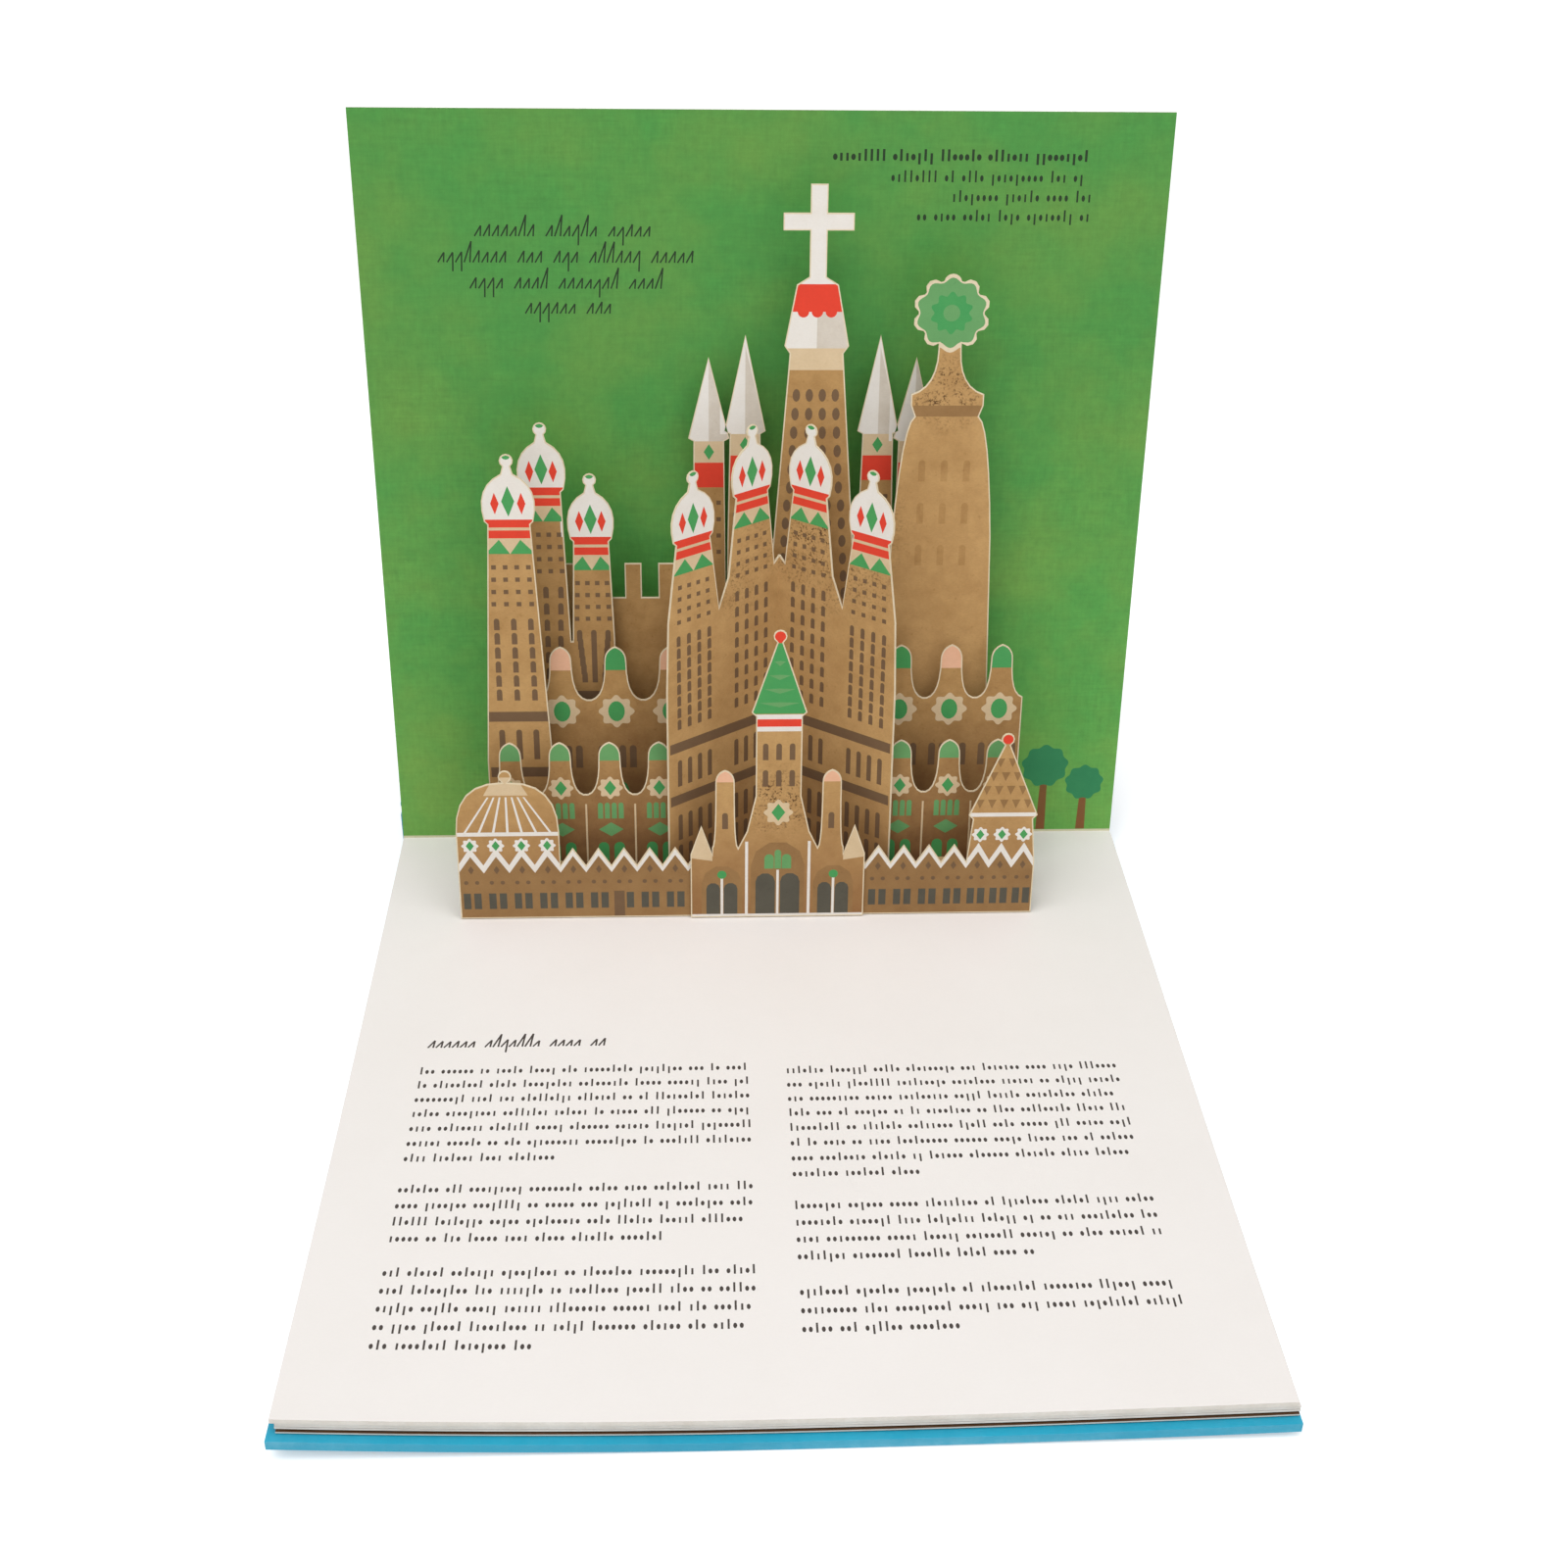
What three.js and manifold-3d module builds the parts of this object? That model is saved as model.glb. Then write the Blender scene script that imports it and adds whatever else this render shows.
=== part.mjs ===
// A children's pop-up book, open at a right angle: the lower page lies on its back cover, the upper
// page stands behind a town of die-cut cards, and the front cover lies back on the table behind.
// Millimetres. X runs along the gutter, Y from the reader to the back, Z up. The origin is on the
// underside of the back cover, below the middle of the gutter.
import * as THREE from "three";
import { mergeVertices } from "three/addons/utils/BufferGeometryUtils.js";
import Module from "manifold-3d";

const wasm = await Module();
wasm.setup();

// Pages
const PAGE_WIDTH = 210;
const PAGE_DEPTH = 209;
const SHEET_THICKNESS = 1.2;
const STANDING_THICKNESS = 0.7;
const LEAN = THREE.MathUtils.degToRad(5.4);
const GAP = 0.3;
const JOIN = 0.3;

// Case: two covers and a spine board in one printed wrap
const BOARD = 2.4;
const WRAP = 0.5;
const SIDE_MARGIN = 1;
const FORE_MARGIN = 1.8;
const NOSE_RADIUS = 0.7;
const JOINT_WIDTH = 1.8;
const HINGE_SETBACK = 6.2;
const SPINE_HEIGHT = 14.3;

// Leaves below the open page
const LEAF_UPPER = 1.6;
const LEAF_SLIT = 0.8;
const LEAF_LOWER = 0.4;
const SLIT_DEPTH = 3;
const BLOCK_SETBACK = 0.7;
const BLOCK_SHIFT = 0.8;

// Leaves turned back with the front cover
const EARLIER_THICKNESS = 4.2;
const EARLIER_FAN = 7;

// The fore corners of the lying half are bent up a little
const LIFT_LEFT = 3.6;
const LIFT_RIGHT = 1.6;
const FLAT_DEPTH = 70;
const CELLS_ACROSS = 12;
const CELLS_DEEP = 10;

// Pop-up card
const CARD = 0.4;
const TAB_LENGTH = 3.5;
const TAB_INSET = 2;
const STRAP_WIDTH = 9;
const ROUND_STEPS = 7;
const CURVE_STEPS = 6;
const NOSE_STEPS = 16;

// Distance of each card in front of the standing page, along the lying page
const SPIRELET_DEPTH = 6;
const WALL_DEPTH = 10;
const TALL_TOWER_DEPTH = 11.5;
const REAR_TOWER_DEPTH = 14;
const HIGH_GABLE_DEPTH = 19;
const LEFT_TOWER_DEPTH = 25;
const LOW_GABLE_DEPTH = 31;
const TERRACE_DEPTH = 40;
const CREASE_DEPTH = 15;
const WING_DEPTH = 36;

// Front terrace: a row of gabled houses between a domed hall and a round turret
const HOUSE_PITCH = 7;
const HOUSE_EAVE = 16.5;
const HOUSE_GABLE = 5.5;
const HALL_CENTRE = -70;
const HALL_HALF = 14;
const HALL_WALL = 27;
const HALL_DOME = 19;
const TURRET_CENTRE = 65.5;
const TURRET_HALF = 9.5;
const TURRET_WALL = 31;
const TURRET_ROOF = 25;
const TERRACE_STRAP_HEIGHT = 12;

// Gatehouse, with a tall gate tower in its middle
const GATE_CENTRE = 3.7;
const GATE_HALF = 24;
const GATE_CORNER_HALF = 3;
const GATE_CORNER_EAVE = 20;
const GATE_CORNER_GABLE = 9;
const GATE_TURRET_OFFSET = 14.5;
const GATE_TURRET_FOOT = 22;
const GATE_TURRET_FOOT_HALF = 3.6;
const GATE_TURRET_HEIGHT = 24;
const GATE_TURRET_HALF = 2.6;
const GATE_SHOULDER = 27;
const GATE_SHOULDER_HALF = 8.6;
const GATE_TOWER_TAPER = 11;
const GATE_TOWER_HALF = 6.2;
const GATE_TOWER_WALL = 24;
const GATE_TOWER_ROOF = 25;

// Facade wings, with two towers on each, placed as shares of the wing's length
const CREASE_X = 4.3;
const CREASE_TOP = 96;
const WING_SPREAD = 30.5;
const WING_WALL = 66;
const WING_TAB_START = 0.1;
const WING_TAB_SHARE = 0.55;
const INNER_TOWER_SHARE = 0.25;
const INNER_TOWER_FOOT = 94;
const INNER_TOWER_HALF = 7.6;
const INNER_TOWER_WALL = 22;
const INNER_TOWER_NECK_HALF = 5.2;
const OUTER_TOWER_SHARE = 0.76;
const OUTER_TOWER_FOOT = 86;
const OUTER_TOWER_HALF = 8.2;
const OUTER_TOWER_WALL = 22;
const OUTER_TOWER_NECK_HALF = 5.4;

// Rows of pinnacled gables on both sides
const LOW_VALLEY = 33;
const HIGH_VALLEY = 55;
const GABLE_PITCH = 14;
const PINNACLE_HEIGHT = 16;
const PINNACLE_HALF = 3;
const PINNACLE_SPACE = 0.6;
const LEFT_LOW_START = -76;
const LEFT_LOW_END = -22;
const LEFT_HIGH_START = -63;
const LEFT_HIGH_END = -18;
const RIGHT_LOW_START = 31;
const RIGHT_LOW_END = 71;
const RIGHT_HIGH_START = 31;
const RIGHT_HIGH_END = 73;
const LOW_STRAP_HEIGHT = 16;
const HIGH_STRAP_HEIGHT = 30;
const LEFT_LOW_STRAP = -52;
const LEFT_HIGH_STRAP = -38;
const RIGHT_LOW_STRAP = 48;
const RIGHT_HIGH_STRAP = 36;

// Left towers
const LEFT_TOWER_X = -67;
const LEFT_TOWER_FOOT = 40;
const LEFT_TOWER_HALF = 9;
const LEFT_TOWER_WALL = 70;
const LEFT_TOWER_NECK_HALF = 5.6;
const LEFT_TOWER_STRAP_HEIGHT = 40;
const REAR_TOWER_X = -59;
const REAR_TOWER_FOOT = 70;
const REAR_TOWER_HALF = 6.4;
const REAR_TOWER_WALL = 44;
const REAR_TOWER_NECK_HALF = 5;
const REAR_TOWER_STRAP_HEIGHT = 60;
const SMALL_TOWER_X = -46.4;
const SMALL_TOWER_HALF = 5.8;
const SMALL_TOWER_WALL = 30;
const SMALL_TOWER_NECK_HALF = 4.8;

// Wall with teeth
const WALL_LEFT = -56;
const WALL_RIGHT = -24;
const WALL_LOW = 81;
const TOOTH_HEIGHT = 10;
const WALL_TEETH = 4;
const WALL_STRAP = -44;
const WALL_STRAP_HEIGHT = 45;

// Tall tower and its cross
const TALL_TOWER_X = 13.5;
const TALL_TOWER_FOOT = 40;
const TALL_TOWER_HALF = 15;
const TALL_TOWER_WALL = 110;
const TALL_TOWER_NECK_HALF = 7;
const TALL_EAVE_RISE = 2;
const TALL_EAVE_HALF = 8.4;
const TALL_CAP_HEIGHT = 16;
const TALL_CAP_HALF = 5.4;
const CROSS_FOOT_RISE = 2;
const CROSS_HEIGHT = 23.5;
const CROSS_BAR_SHARE = 0.6;
const CROSS_ARM_HALF = 9;
const CROSS_WIDTH = 4.4;
const TALL_STRAP_HEIGHT = 60;

// Small spires, two on each side of a middle
const SPIRE_CENTRE = 12.9;
const SPIRE_HALF = 4.7;
const SPIRE_EAVE = 0.8;
const SPIRE_TAPER = 0.6;
const NEAR_SPIRE_OFFSET = 17.8;
const NEAR_SPIRE_FOOT = 96;
const NEAR_SPIRE_WALL = 30;
const NEAR_SPIRE_ROOF = 27;
const FAR_SPIRE_OFFSET = 27.5;
const FAR_SPIRE_FOOT = 60;
const FAR_SPIRE_WALL = 64;
const FAR_SPIRE_ROOF = 23;
const SPIRE_STRAP_HEIGHT = 80;

// Right tower and the rosette on it
const RIGHT_TOWER_X = 48;
const RIGHT_TOWER_FOOT = 40;
const RIGHT_TOWER_HALF = 15.5;
const RIGHT_TOWER_WALL = 60;
const RIGHT_TOWER_BELT_HALF = 13.5;
const RIGHT_SHOULDER_RISE = 34;
const RIGHT_SHOULDER_HALF = 8.5;
const RIGHT_SHOULDER_ROUND = 1.8;
const CORNICE_RISE = 3;
const CORNICE_HEIGHT = 3;
const CORNICE_HALF = 9.6;
const ROSETTE_NECK_HEIGHT = 12;
const ROSETTE_NECK_HALF = 3;
const ROSETTE_NECK_ROUND = 2;
const ROSETTE_RADIUS = 9.6;
const ROSETTE_LOBES = 10;
const LOBE_RADIUS = 2.3;
const LOBE_INSET = 1.8;
const LOBE_TURN = 80;
const LOBE_STEPS = 4;
const RIGHT_TOWER_STRAP = 51;
const RIGHT_TOWER_STRAP_HEIGHT = 60;

// Forms that several cards share
const BALL_RADIUS = 1.8;
const BALL_START = 235;
const BALL_STEPS = 5;
const EAVE_OVERHANG = 0.8;
const CONE_OVERHANG = 1.2;
const TIP_HALF = 0.8;
const ONION_ROOF = 21;
const ONION_BULGE = 3.2;
const ONION_BULGE_SHARE = 0.45;
const ONION_WAIST_HALF = 1.6;
const ONION_WAIST_SHARE = 0.62;

const LEAF_BOTTOM = BOARD + GAP;
const LEAF_STACK = LEAF_UPPER + LEAF_SLIT + LEAF_LOWER;
const SHEET_BOTTOM = LEAF_BOTTOM + LEAF_STACK + GAP;
const PAGE_TOP = SHEET_BOTTOM + SHEET_THICKNESS;
const COVER_WIDTH = PAGE_WIDTH + 2 * SIDE_MARGIN;
const COVER_FORE = PAGE_DEPTH + FORE_MARGIN;
const COVER_REACH = COVER_FORE + HINGE_SETBACK;

// Solids

function toSolid(geometry) {
  const flat = (geometry.index ? geometry.toNonIndexed() : geometry).clone();
  flat.deleteAttribute("normal");
  flat.deleteAttribute("uv");
  const merged = mergeVertices(flat, 1e-4);
  const mesh = new wasm.Mesh({
    numProp: 3,
    vertProperties: merged.attributes.position.array,
    triVerts: new Uint32Array(merged.index.array),
  });
  return new wasm.Manifold(mesh);
}

function joined(geometries) {
  const solids = geometries.map(toSolid);
  const whole = solids.reduce((sum, solid) => sum.add(solid)).getMesh();
  const points = new Float32Array(whole.numVert * 3);
  for (let i = 0; i < whole.numVert; i++) {
    points.set(whole.vertProperties.subarray(i * whole.numProp, i * whole.numProp + 3), i * 3);
  }
  const geometry = new THREE.BufferGeometry();
  geometry.setAttribute("position", new THREE.BufferAttribute(points, 3));
  geometry.setIndex(new THREE.BufferAttribute(new Uint32Array(whole.triVerts), 1));
  geometry.computeVertexNormals();
  return geometry;
}

// A box given by its low and high corners.
function block(low, high, cells = [1, 1]) {
  const size = high.map((value, i) => value - low[i]);
  const geometry = new THREE.BoxGeometry(...size, cells[0], cells[1], 1);
  geometry.translate(...high.map((value, i) => (value + low[i]) / 2));
  return geometry;
}

// How far the lying half is lifted at a place: nothing near the spine, most at the fore corners.
function lift(x, y) {
  const side = x < 0 ? LIFT_LEFT : LIFT_RIGHT;
  const across = Math.abs(x) / (PAGE_WIDTH / 2);
  const forward = Math.max(0, (-y - FLAT_DEPTH) / (PAGE_DEPTH - FLAT_DEPTH));
  return side * across ** 2 * forward ** 2;
}

// A lying slab between two heights, with the lift of the lying half.
function lyingSlab(left, right, fore, back, bottom, top) {
  const geometry = block([left, fore, bottom], [right, back, top], [CELLS_ACROSS, CELLS_DEEP]);
  const places = geometry.attributes.position;
  for (let i = 0; i < places.count; i++) {
    places.setZ(i, places.getZ(i) + lift(places.getX(i), places.getY(i)));
  }
  return geometry;
}

// A profile of [y, z] points carried along X from left to right.
function alongGutter(profile, left, right) {
  const shape = new THREE.Shape(profile.map(([y, z]) => new THREE.Vector2(y, z)));
  const geometry = new THREE.ExtrudeGeometry(shape, { depth: right - left, bevelEnabled: false });
  const basis = new THREE.Matrix4().makeBasis(
    new THREE.Vector3(0, 1, 0),
    new THREE.Vector3(0, 0, 1),
    new THREE.Vector3(1, 0, 0),
  );
  return geometry.applyMatrix4(basis).translate(left, 0, 0);
}

// The creased wrap paper rolls on a nose of its own along each hinge line.
function nose() {
  const profile = [];
  for (let i = 0; i < NOSE_STEPS; i++) {
    const angle = (i / NOSE_STEPS) * 2 * Math.PI;
    profile.push([NOSE_RADIUS * Math.cos(angle), NOSE_RADIUS * Math.sin(angle)]);
  }
  return profile;
}

// Outlines of the cards, as [x, height] points from left to right

function arc(x, z, radius, from, to, steps = ROUND_STEPS) {
  return Array.from({ length: steps + 1 }, (_, i) => {
    const angle = THREE.MathUtils.degToRad(from + ((to - from) * i) / steps);
    return [x + radius * Math.cos(angle), z + radius * Math.sin(angle)];
  });
}

function bend(start, control, end, steps = CURVE_STEPS) {
  return Array.from({ length: steps + 1 }, (_, i) => {
    const t = i / steps;
    const mix = (k) => (1 - t) ** 2 * start[k] + 2 * t * (1 - t) * control[k] + t ** 2 * end[k];
    return [mix(0), mix(1)];
  });
}

// The left half of a form, and the same mirrored about x, as one run of points.
function bothSides(x, left) {
  const right = left.map(([px, pz]) => [2 * x - px, pz]).reverse();
  const apart = left[left.length - 1][0] < x - 1e-6;
  return [...left, ...(apart ? right : right.slice(1))];
}

function gable(x, half, foot, peak) {
  return [[x - half, foot], [x, peak], [x + half, foot]];
}

// A small ball with its foot at a height, closed over the top.
function ball(x, foot) {
  return arc(x, foot + BALL_RADIUS, BALL_RADIUS, BALL_START, 90, BALL_STEPS);
}

// A round-headed pinnacle on a flared foot.
function pinnacle(x, foot, top, footHalf, headHalf) {
  const neck = top - 1.5 * headHalf;
  const side = x - headHalf;
  const flare = bend([x - footHalf, foot], [side, foot + headHalf / 3], [side, neck]);
  return bothSides(x, [...flare, ...bend([side, neck], [side, top - headHalf / 3], [x, top])]);
}

// A tapered tower with an onion roof and a ball. Its wall is measured up from its foot.
function onionTower(x, foot, footHalf, wallHeight, neckHalf) {
  const neck = foot + wallHeight;
  const eave = [x - neckHalf - EAVE_OVERHANG, neck];
  const belly = [x - neckHalf - ONION_BULGE, neck + ONION_ROOF * ONION_BULGE_SHARE];
  const waist = [x - ONION_WAIST_HALF, neck + ONION_ROOF * ONION_WAIST_SHARE];
  const wall = [[x - footHalf, foot], [x - neckHalf, neck - EAVE_OVERHANG]];
  return bothSides(x, [...wall, ...bend(eave, belly, waist), ...ball(x, waist[1] + BALL_RADIUS)]);
}

// A tapered tower with a steep cone and a ball.
function coneTower(x, foot, footHalf, neck, neckHalf, roof) {
  const tip = neck + roof;
  const wall = [[x - footHalf, foot], [x - neckHalf, neck - CONE_OVERHANG]];
  const eave = [x - neckHalf - CONE_OVERHANG, neck];
  const point = [x - TIP_HALF, tip - 2 * BALL_RADIUS];
  return bothSides(x, [...wall, eave, point, ...ball(x, tip - 2 * BALL_RADIUS)]);
}

// Square teeth of one height along a wall.
function teeth(left, right, count, low, height) {
  const high = low + height;
  const pitch = (right - left) / (2 * count - 1);
  const points = [];
  for (let i = 0; i < count; i++) {
    const x = left + 2 * i * pitch;
    points.push([x, low], [x, high], [x + pitch, high], [x + pitch, low]);
  }
  return points.slice(1, -1);
}

function closedBelow(skyline) {
  const left = skyline[0][0];
  const right = skyline[skyline.length - 1][0];
  return [[left, 0], ...skyline, [right, 0]].filter(
    ([x, z], i, all) => i === 0 || Math.hypot(x - all[i - 1][0], z - all[i - 1][1]) > 1e-3,
  );
}

// Cards

const UP = new THREE.Vector3(0, Math.sin(LEAN), Math.cos(LEAN));
const BACK = new THREE.Vector3(0, Math.cos(LEAN), -Math.sin(LEAN));
const CARD_FOOT = PAGE_TOP + GAP;

// A flat card that stands on the page: its outline runs along a direction and up the lean.
function standingCard(outline, foot, along, through) {
  const shape = new THREE.Shape(outline.map(([x, z]) => new THREE.Vector2(x, z)));
  const geometry = new THREE.ExtrudeGeometry(shape, { depth: CARD, bevelEnabled: false });
  const basis = new THREE.Matrix4().makeBasis(along, UP, through);
  const faces = basis.determinant() < 0 ? flipped(geometry) : geometry;
  return faces.applyMatrix4(basis).translate(...foot);
}

function flipped(geometry) {
  const turned = geometry.index ? geometry.toNonIndexed() : geometry;
  const places = turned.attributes.position;
  const a = new THREE.Vector3();
  const b = new THREE.Vector3();
  for (let i = 0; i < places.count; i += 3) {
    a.fromBufferAttribute(places, i);
    b.fromBufferAttribute(places, i + 1);
    places.setXYZ(i, b.x, b.y, b.z);
    places.setXYZ(i + 1, a.x, a.y, a.z);
  }
  return turned;
}

// The strip at a card's foot that is folded back and glued to the page.
function footTab(left, right, depth) {
  return block([left, -depth, CARD_FOOT], [right, -depth + TAB_LENGTH, CARD_FOOT + CARD]);
}

// A strap that holds a card at a height, folded from it and glued to what stands behind it.
function strap(x, height, depth, behind) {
  const z = CARD_FOOT + height * UP.z;
  const shift = height * UP.y;
  const from = -depth + shift + CARD / 2;
  const to = -behind + shift - GAP;
  return block([x, from, z], [x + STRAP_WIDTH, to, z + CARD]);
}

function face(skyline, depth) {
  const foot = [0, -depth, CARD_FOOT];
  return standingCard(closedBelow(skyline), foot, new THREE.Vector3(1, 0, 0), BACK);
}

// A card with its foot tab and its straps, each strap given as [left end, height, what it is glued to].
function card(skyline, depth, straps) {
  const left = skyline[0][0] + TAB_INSET;
  const right = skyline[skyline.length - 1][0] - TAB_INSET;
  return joined([
    face(skyline, depth),
    footTab(left, right, depth),
    ...straps.map(([x, height, behind]) => strap(x, height, depth, behind)),
  ]);
}

function houses(left, right) {
  const count = Math.round((right - left) / HOUSE_PITCH);
  const half = (right - left) / count / 2;
  return Array.from({ length: count }, (_, i) =>
    gable(left + (2 * i + 1) * half, half, HOUSE_EAVE, HOUSE_EAVE + HOUSE_GABLE),
  ).flat();
}

function frontTerrace() {
  const hallEnd = HALL_CENTRE + HALL_HALF;
  const turretStart = TURRET_CENTRE - TURRET_HALF;
  const crown = HALL_WALL + HALL_DOME - 2 * BALL_RADIUS;
  const springing = [HALL_CENTRE - HALL_HALF, HALL_WALL];
  const haunch = [HALL_CENTRE - HALL_HALF, crown];
  const dome = [...bend(springing, haunch, [HALL_CENTRE - TIP_HALF, crown]), ...ball(HALL_CENTRE, crown)];
  const turret = [TURRET_CENTRE, HOUSE_EAVE, TURRET_HALF, TURRET_WALL, TURRET_HALF - CONE_OVERHANG];
  const skyline = [
    ...bothSides(HALL_CENTRE, dome),
    [hallEnd, HOUSE_EAVE],
    ...houses(hallEnd, turretStart),
    ...coneTower(...turret, TURRET_ROOF),
  ];
  const straps = [
    [hallEnd - STRAP_WIDTH, TERRACE_STRAP_HEIGHT, LOW_GABLE_DEPTH],
    [turretStart - STRAP_WIDTH, TERRACE_STRAP_HEIGHT, LOW_GABLE_DEPTH],
  ];
  return card(skyline, TERRACE_DEPTH, straps);
}

// The gatehouse is glued to the face of the terrace and has no foot of its own.
function gatehouse() {
  const edge = GATE_CENTRE - GATE_HALF;
  const tower = GATE_CENTRE - GATE_TOWER_HALF;
  const peak = GATE_CORNER_EAVE + GATE_CORNER_GABLE;
  const turretTop = GATE_TURRET_FOOT + GATE_TURRET_HEIGHT;
  const turret = [GATE_TURRET_FOOT, turretTop, GATE_TURRET_FOOT_HALF, GATE_TURRET_HALF];
  const foot = GATE_SHOULDER + GATE_TOWER_TAPER;
  const eave = foot + GATE_TOWER_WALL;
  const point = eave + GATE_TOWER_ROOF - 2 * BALL_RADIUS;
  const left = [
    ...gable(edge + GATE_CORNER_HALF, GATE_CORNER_HALF, GATE_CORNER_EAVE, peak),
    ...pinnacle(GATE_CENTRE - GATE_TURRET_OFFSET, ...turret),
    [GATE_CENTRE - GATE_SHOULDER_HALF, GATE_SHOULDER],
    [tower, foot],
    [tower, eave],
    [tower - CONE_OVERHANG, eave + CONE_OVERHANG],
    [GATE_CENTRE - TIP_HALF, point],
    ...ball(GATE_CENTRE, point),
  ];
  return joined([face(bothSides(GATE_CENTRE, left), TERRACE_DEPTH + CARD + GAP)]);
}

// One wing of the facade, from the crease that both share out to its free edge.
function facadeWing(side) {
  const along = new THREE.Vector3(side * WING_SPREAD, CREASE_DEPTH - WING_DEPTH, 0);
  const length = along.length();
  along.normalize();
  const inner = [INNER_TOWER_FOOT, INNER_TOWER_HALF, INNER_TOWER_WALL, INNER_TOWER_NECK_HALF];
  const outer = [OUTER_TOWER_FOOT, OUTER_TOWER_HALF, OUTER_TOWER_WALL, OUTER_TOWER_NECK_HALF];
  const skyline = [
    [-CARD / 2, CREASE_TOP],
    ...onionTower(length * INNER_TOWER_SHARE, ...inner),
    ...onionTower(length * OUTER_TOWER_SHARE, ...outer),
    [length, WING_WALL],
  ];
  const through = new THREE.Vector3().crossVectors(along, UP).normalize();
  if (through.y < 0) through.negate();
  const crease = [CREASE_X, -CREASE_DEPTH, CARD_FOOT];
  const wing = standingCard(closedBelow(skyline), crease, along, through);
  const tab = block([0, 0, 0], [length * WING_TAB_SHARE, TAB_LENGTH, CARD]);
  tab.translate(length * WING_TAB_START, 0, 0);
  const behind = new THREE.Vector3(-side * along.y, side * along.x, 0);
  const lying = new THREE.Matrix4().makeBasis(along, behind, new THREE.Vector3(0, 0, 1));
  const turned = lying.determinant() < 0 ? flipped(tab) : tab;
  return [wing, turned.applyMatrix4(lying).translate(...crease)];
}

function frontFacade() {
  return joined([...facadeWing(-1), ...facadeWing(1)]);
}

function gableRow(left, right, valley) {
  const count = Math.round((right - left) / GABLE_PITCH);
  const half = (right - left) / count / 2;
  const top = valley + PINNACLE_HEIGHT;
  return Array.from({ length: count }, (_, i) =>
    pinnacle(left + (2 * i + 1) * half, valley, top, half - PINNACLE_SPACE, PINNACLE_HALF),
  ).flat();
}

function leftLowGables() {
  const skyline = gableRow(LEFT_LOW_START, LEFT_LOW_END, LOW_VALLEY);
  return card(skyline, LOW_GABLE_DEPTH, [[LEFT_LOW_STRAP, LOW_STRAP_HEIGHT, HIGH_GABLE_DEPTH]]);
}

function leftHighGables() {
  const skyline = gableRow(LEFT_HIGH_START, LEFT_HIGH_END, HIGH_VALLEY);
  return card(skyline, HIGH_GABLE_DEPTH, [[LEFT_HIGH_STRAP, HIGH_STRAP_HEIGHT, WALL_DEPTH]]);
}

function rightHighGables() {
  const skyline = gableRow(RIGHT_HIGH_START, RIGHT_HIGH_END, HIGH_VALLEY);
  return card(skyline, HIGH_GABLE_DEPTH, [[RIGHT_HIGH_STRAP, HIGH_STRAP_HEIGHT, REAR_TOWER_DEPTH]]);
}

function rightLowGables() {
  const skyline = gableRow(RIGHT_LOW_START, RIGHT_LOW_END, LOW_VALLEY);
  return card(skyline, LOW_GABLE_DEPTH, [[RIGHT_LOW_STRAP, LOW_STRAP_HEIGHT, HIGH_GABLE_DEPTH]]);
}

function leftFrontTower() {
  const wall = [LEFT_TOWER_FOOT, LEFT_TOWER_HALF, LEFT_TOWER_WALL, LEFT_TOWER_NECK_HALF];
  const skyline = onionTower(LEFT_TOWER_X, ...wall);
  const edge = LEFT_TOWER_X - LEFT_TOWER_HALF;
  return card(skyline, LEFT_TOWER_DEPTH, [[edge, LEFT_TOWER_STRAP_HEIGHT, 0]]);
}

function leftRearTowers() {
  const tall = [REAR_TOWER_HALF, REAR_TOWER_WALL, REAR_TOWER_NECK_HALF];
  const small = [SMALL_TOWER_HALF, SMALL_TOWER_WALL, SMALL_TOWER_NECK_HALF];
  const skyline = [
    ...onionTower(REAR_TOWER_X, REAR_TOWER_FOOT, ...tall),
    ...onionTower(SMALL_TOWER_X, REAR_TOWER_FOOT, ...small),
  ];
  const edge = REAR_TOWER_X - REAR_TOWER_HALF;
  return card(skyline, REAR_TOWER_DEPTH, [[edge, REAR_TOWER_STRAP_HEIGHT, 0]]);
}

function battlementWall() {
  const skyline = teeth(WALL_LEFT, WALL_RIGHT, WALL_TEETH, WALL_LOW, TOOTH_HEIGHT);
  return card(skyline, WALL_DEPTH, [[WALL_STRAP, WALL_STRAP_HEIGHT, 0]]);
}

function cross(x, foot) {
  const bar = foot + CROSS_HEIGHT * CROSS_BAR_SHARE;
  const half = CROSS_WIDTH / 2;
  return [
    [x - half, foot],
    [x - half, bar - half],
    [x - CROSS_ARM_HALF, bar - half],
    [x - CROSS_ARM_HALF, bar + half],
    [x - half, bar + half],
    [x - half, foot + CROSS_HEIGHT],
  ];
}

function tallTower() {
  const x = TALL_TOWER_X;
  const neck = TALL_TOWER_FOOT + TALL_TOWER_WALL;
  const eave = neck + TALL_EAVE_RISE;
  const cap = eave + TALL_CAP_HEIGHT;
  const left = [
    [x - TALL_TOWER_HALF, TALL_TOWER_FOOT],
    [x - TALL_TOWER_NECK_HALF, neck],
    [x - TALL_EAVE_HALF, eave],
    [x - TALL_CAP_HALF, cap],
    ...cross(x, cap + CROSS_FOOT_RISE),
  ];
  const strapLeft = x - STRAP_WIDTH / 2;
  return card(bothSides(x, left), TALL_TOWER_DEPTH, [[strapLeft, TALL_STRAP_HEIGHT, SPIRELET_DEPTH]]);
}

function spirelet(x, foot, wallHeight, roof) {
  const neck = foot + wallHeight;
  const wall = [[x - SPIRE_HALF, foot], [x - SPIRE_HALF + SPIRE_TAPER, neck]];
  return bothSides(x, [...wall, [x - SPIRE_HALF - SPIRE_EAVE, neck + SPIRE_EAVE], [x, neck + roof]]);
}

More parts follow.
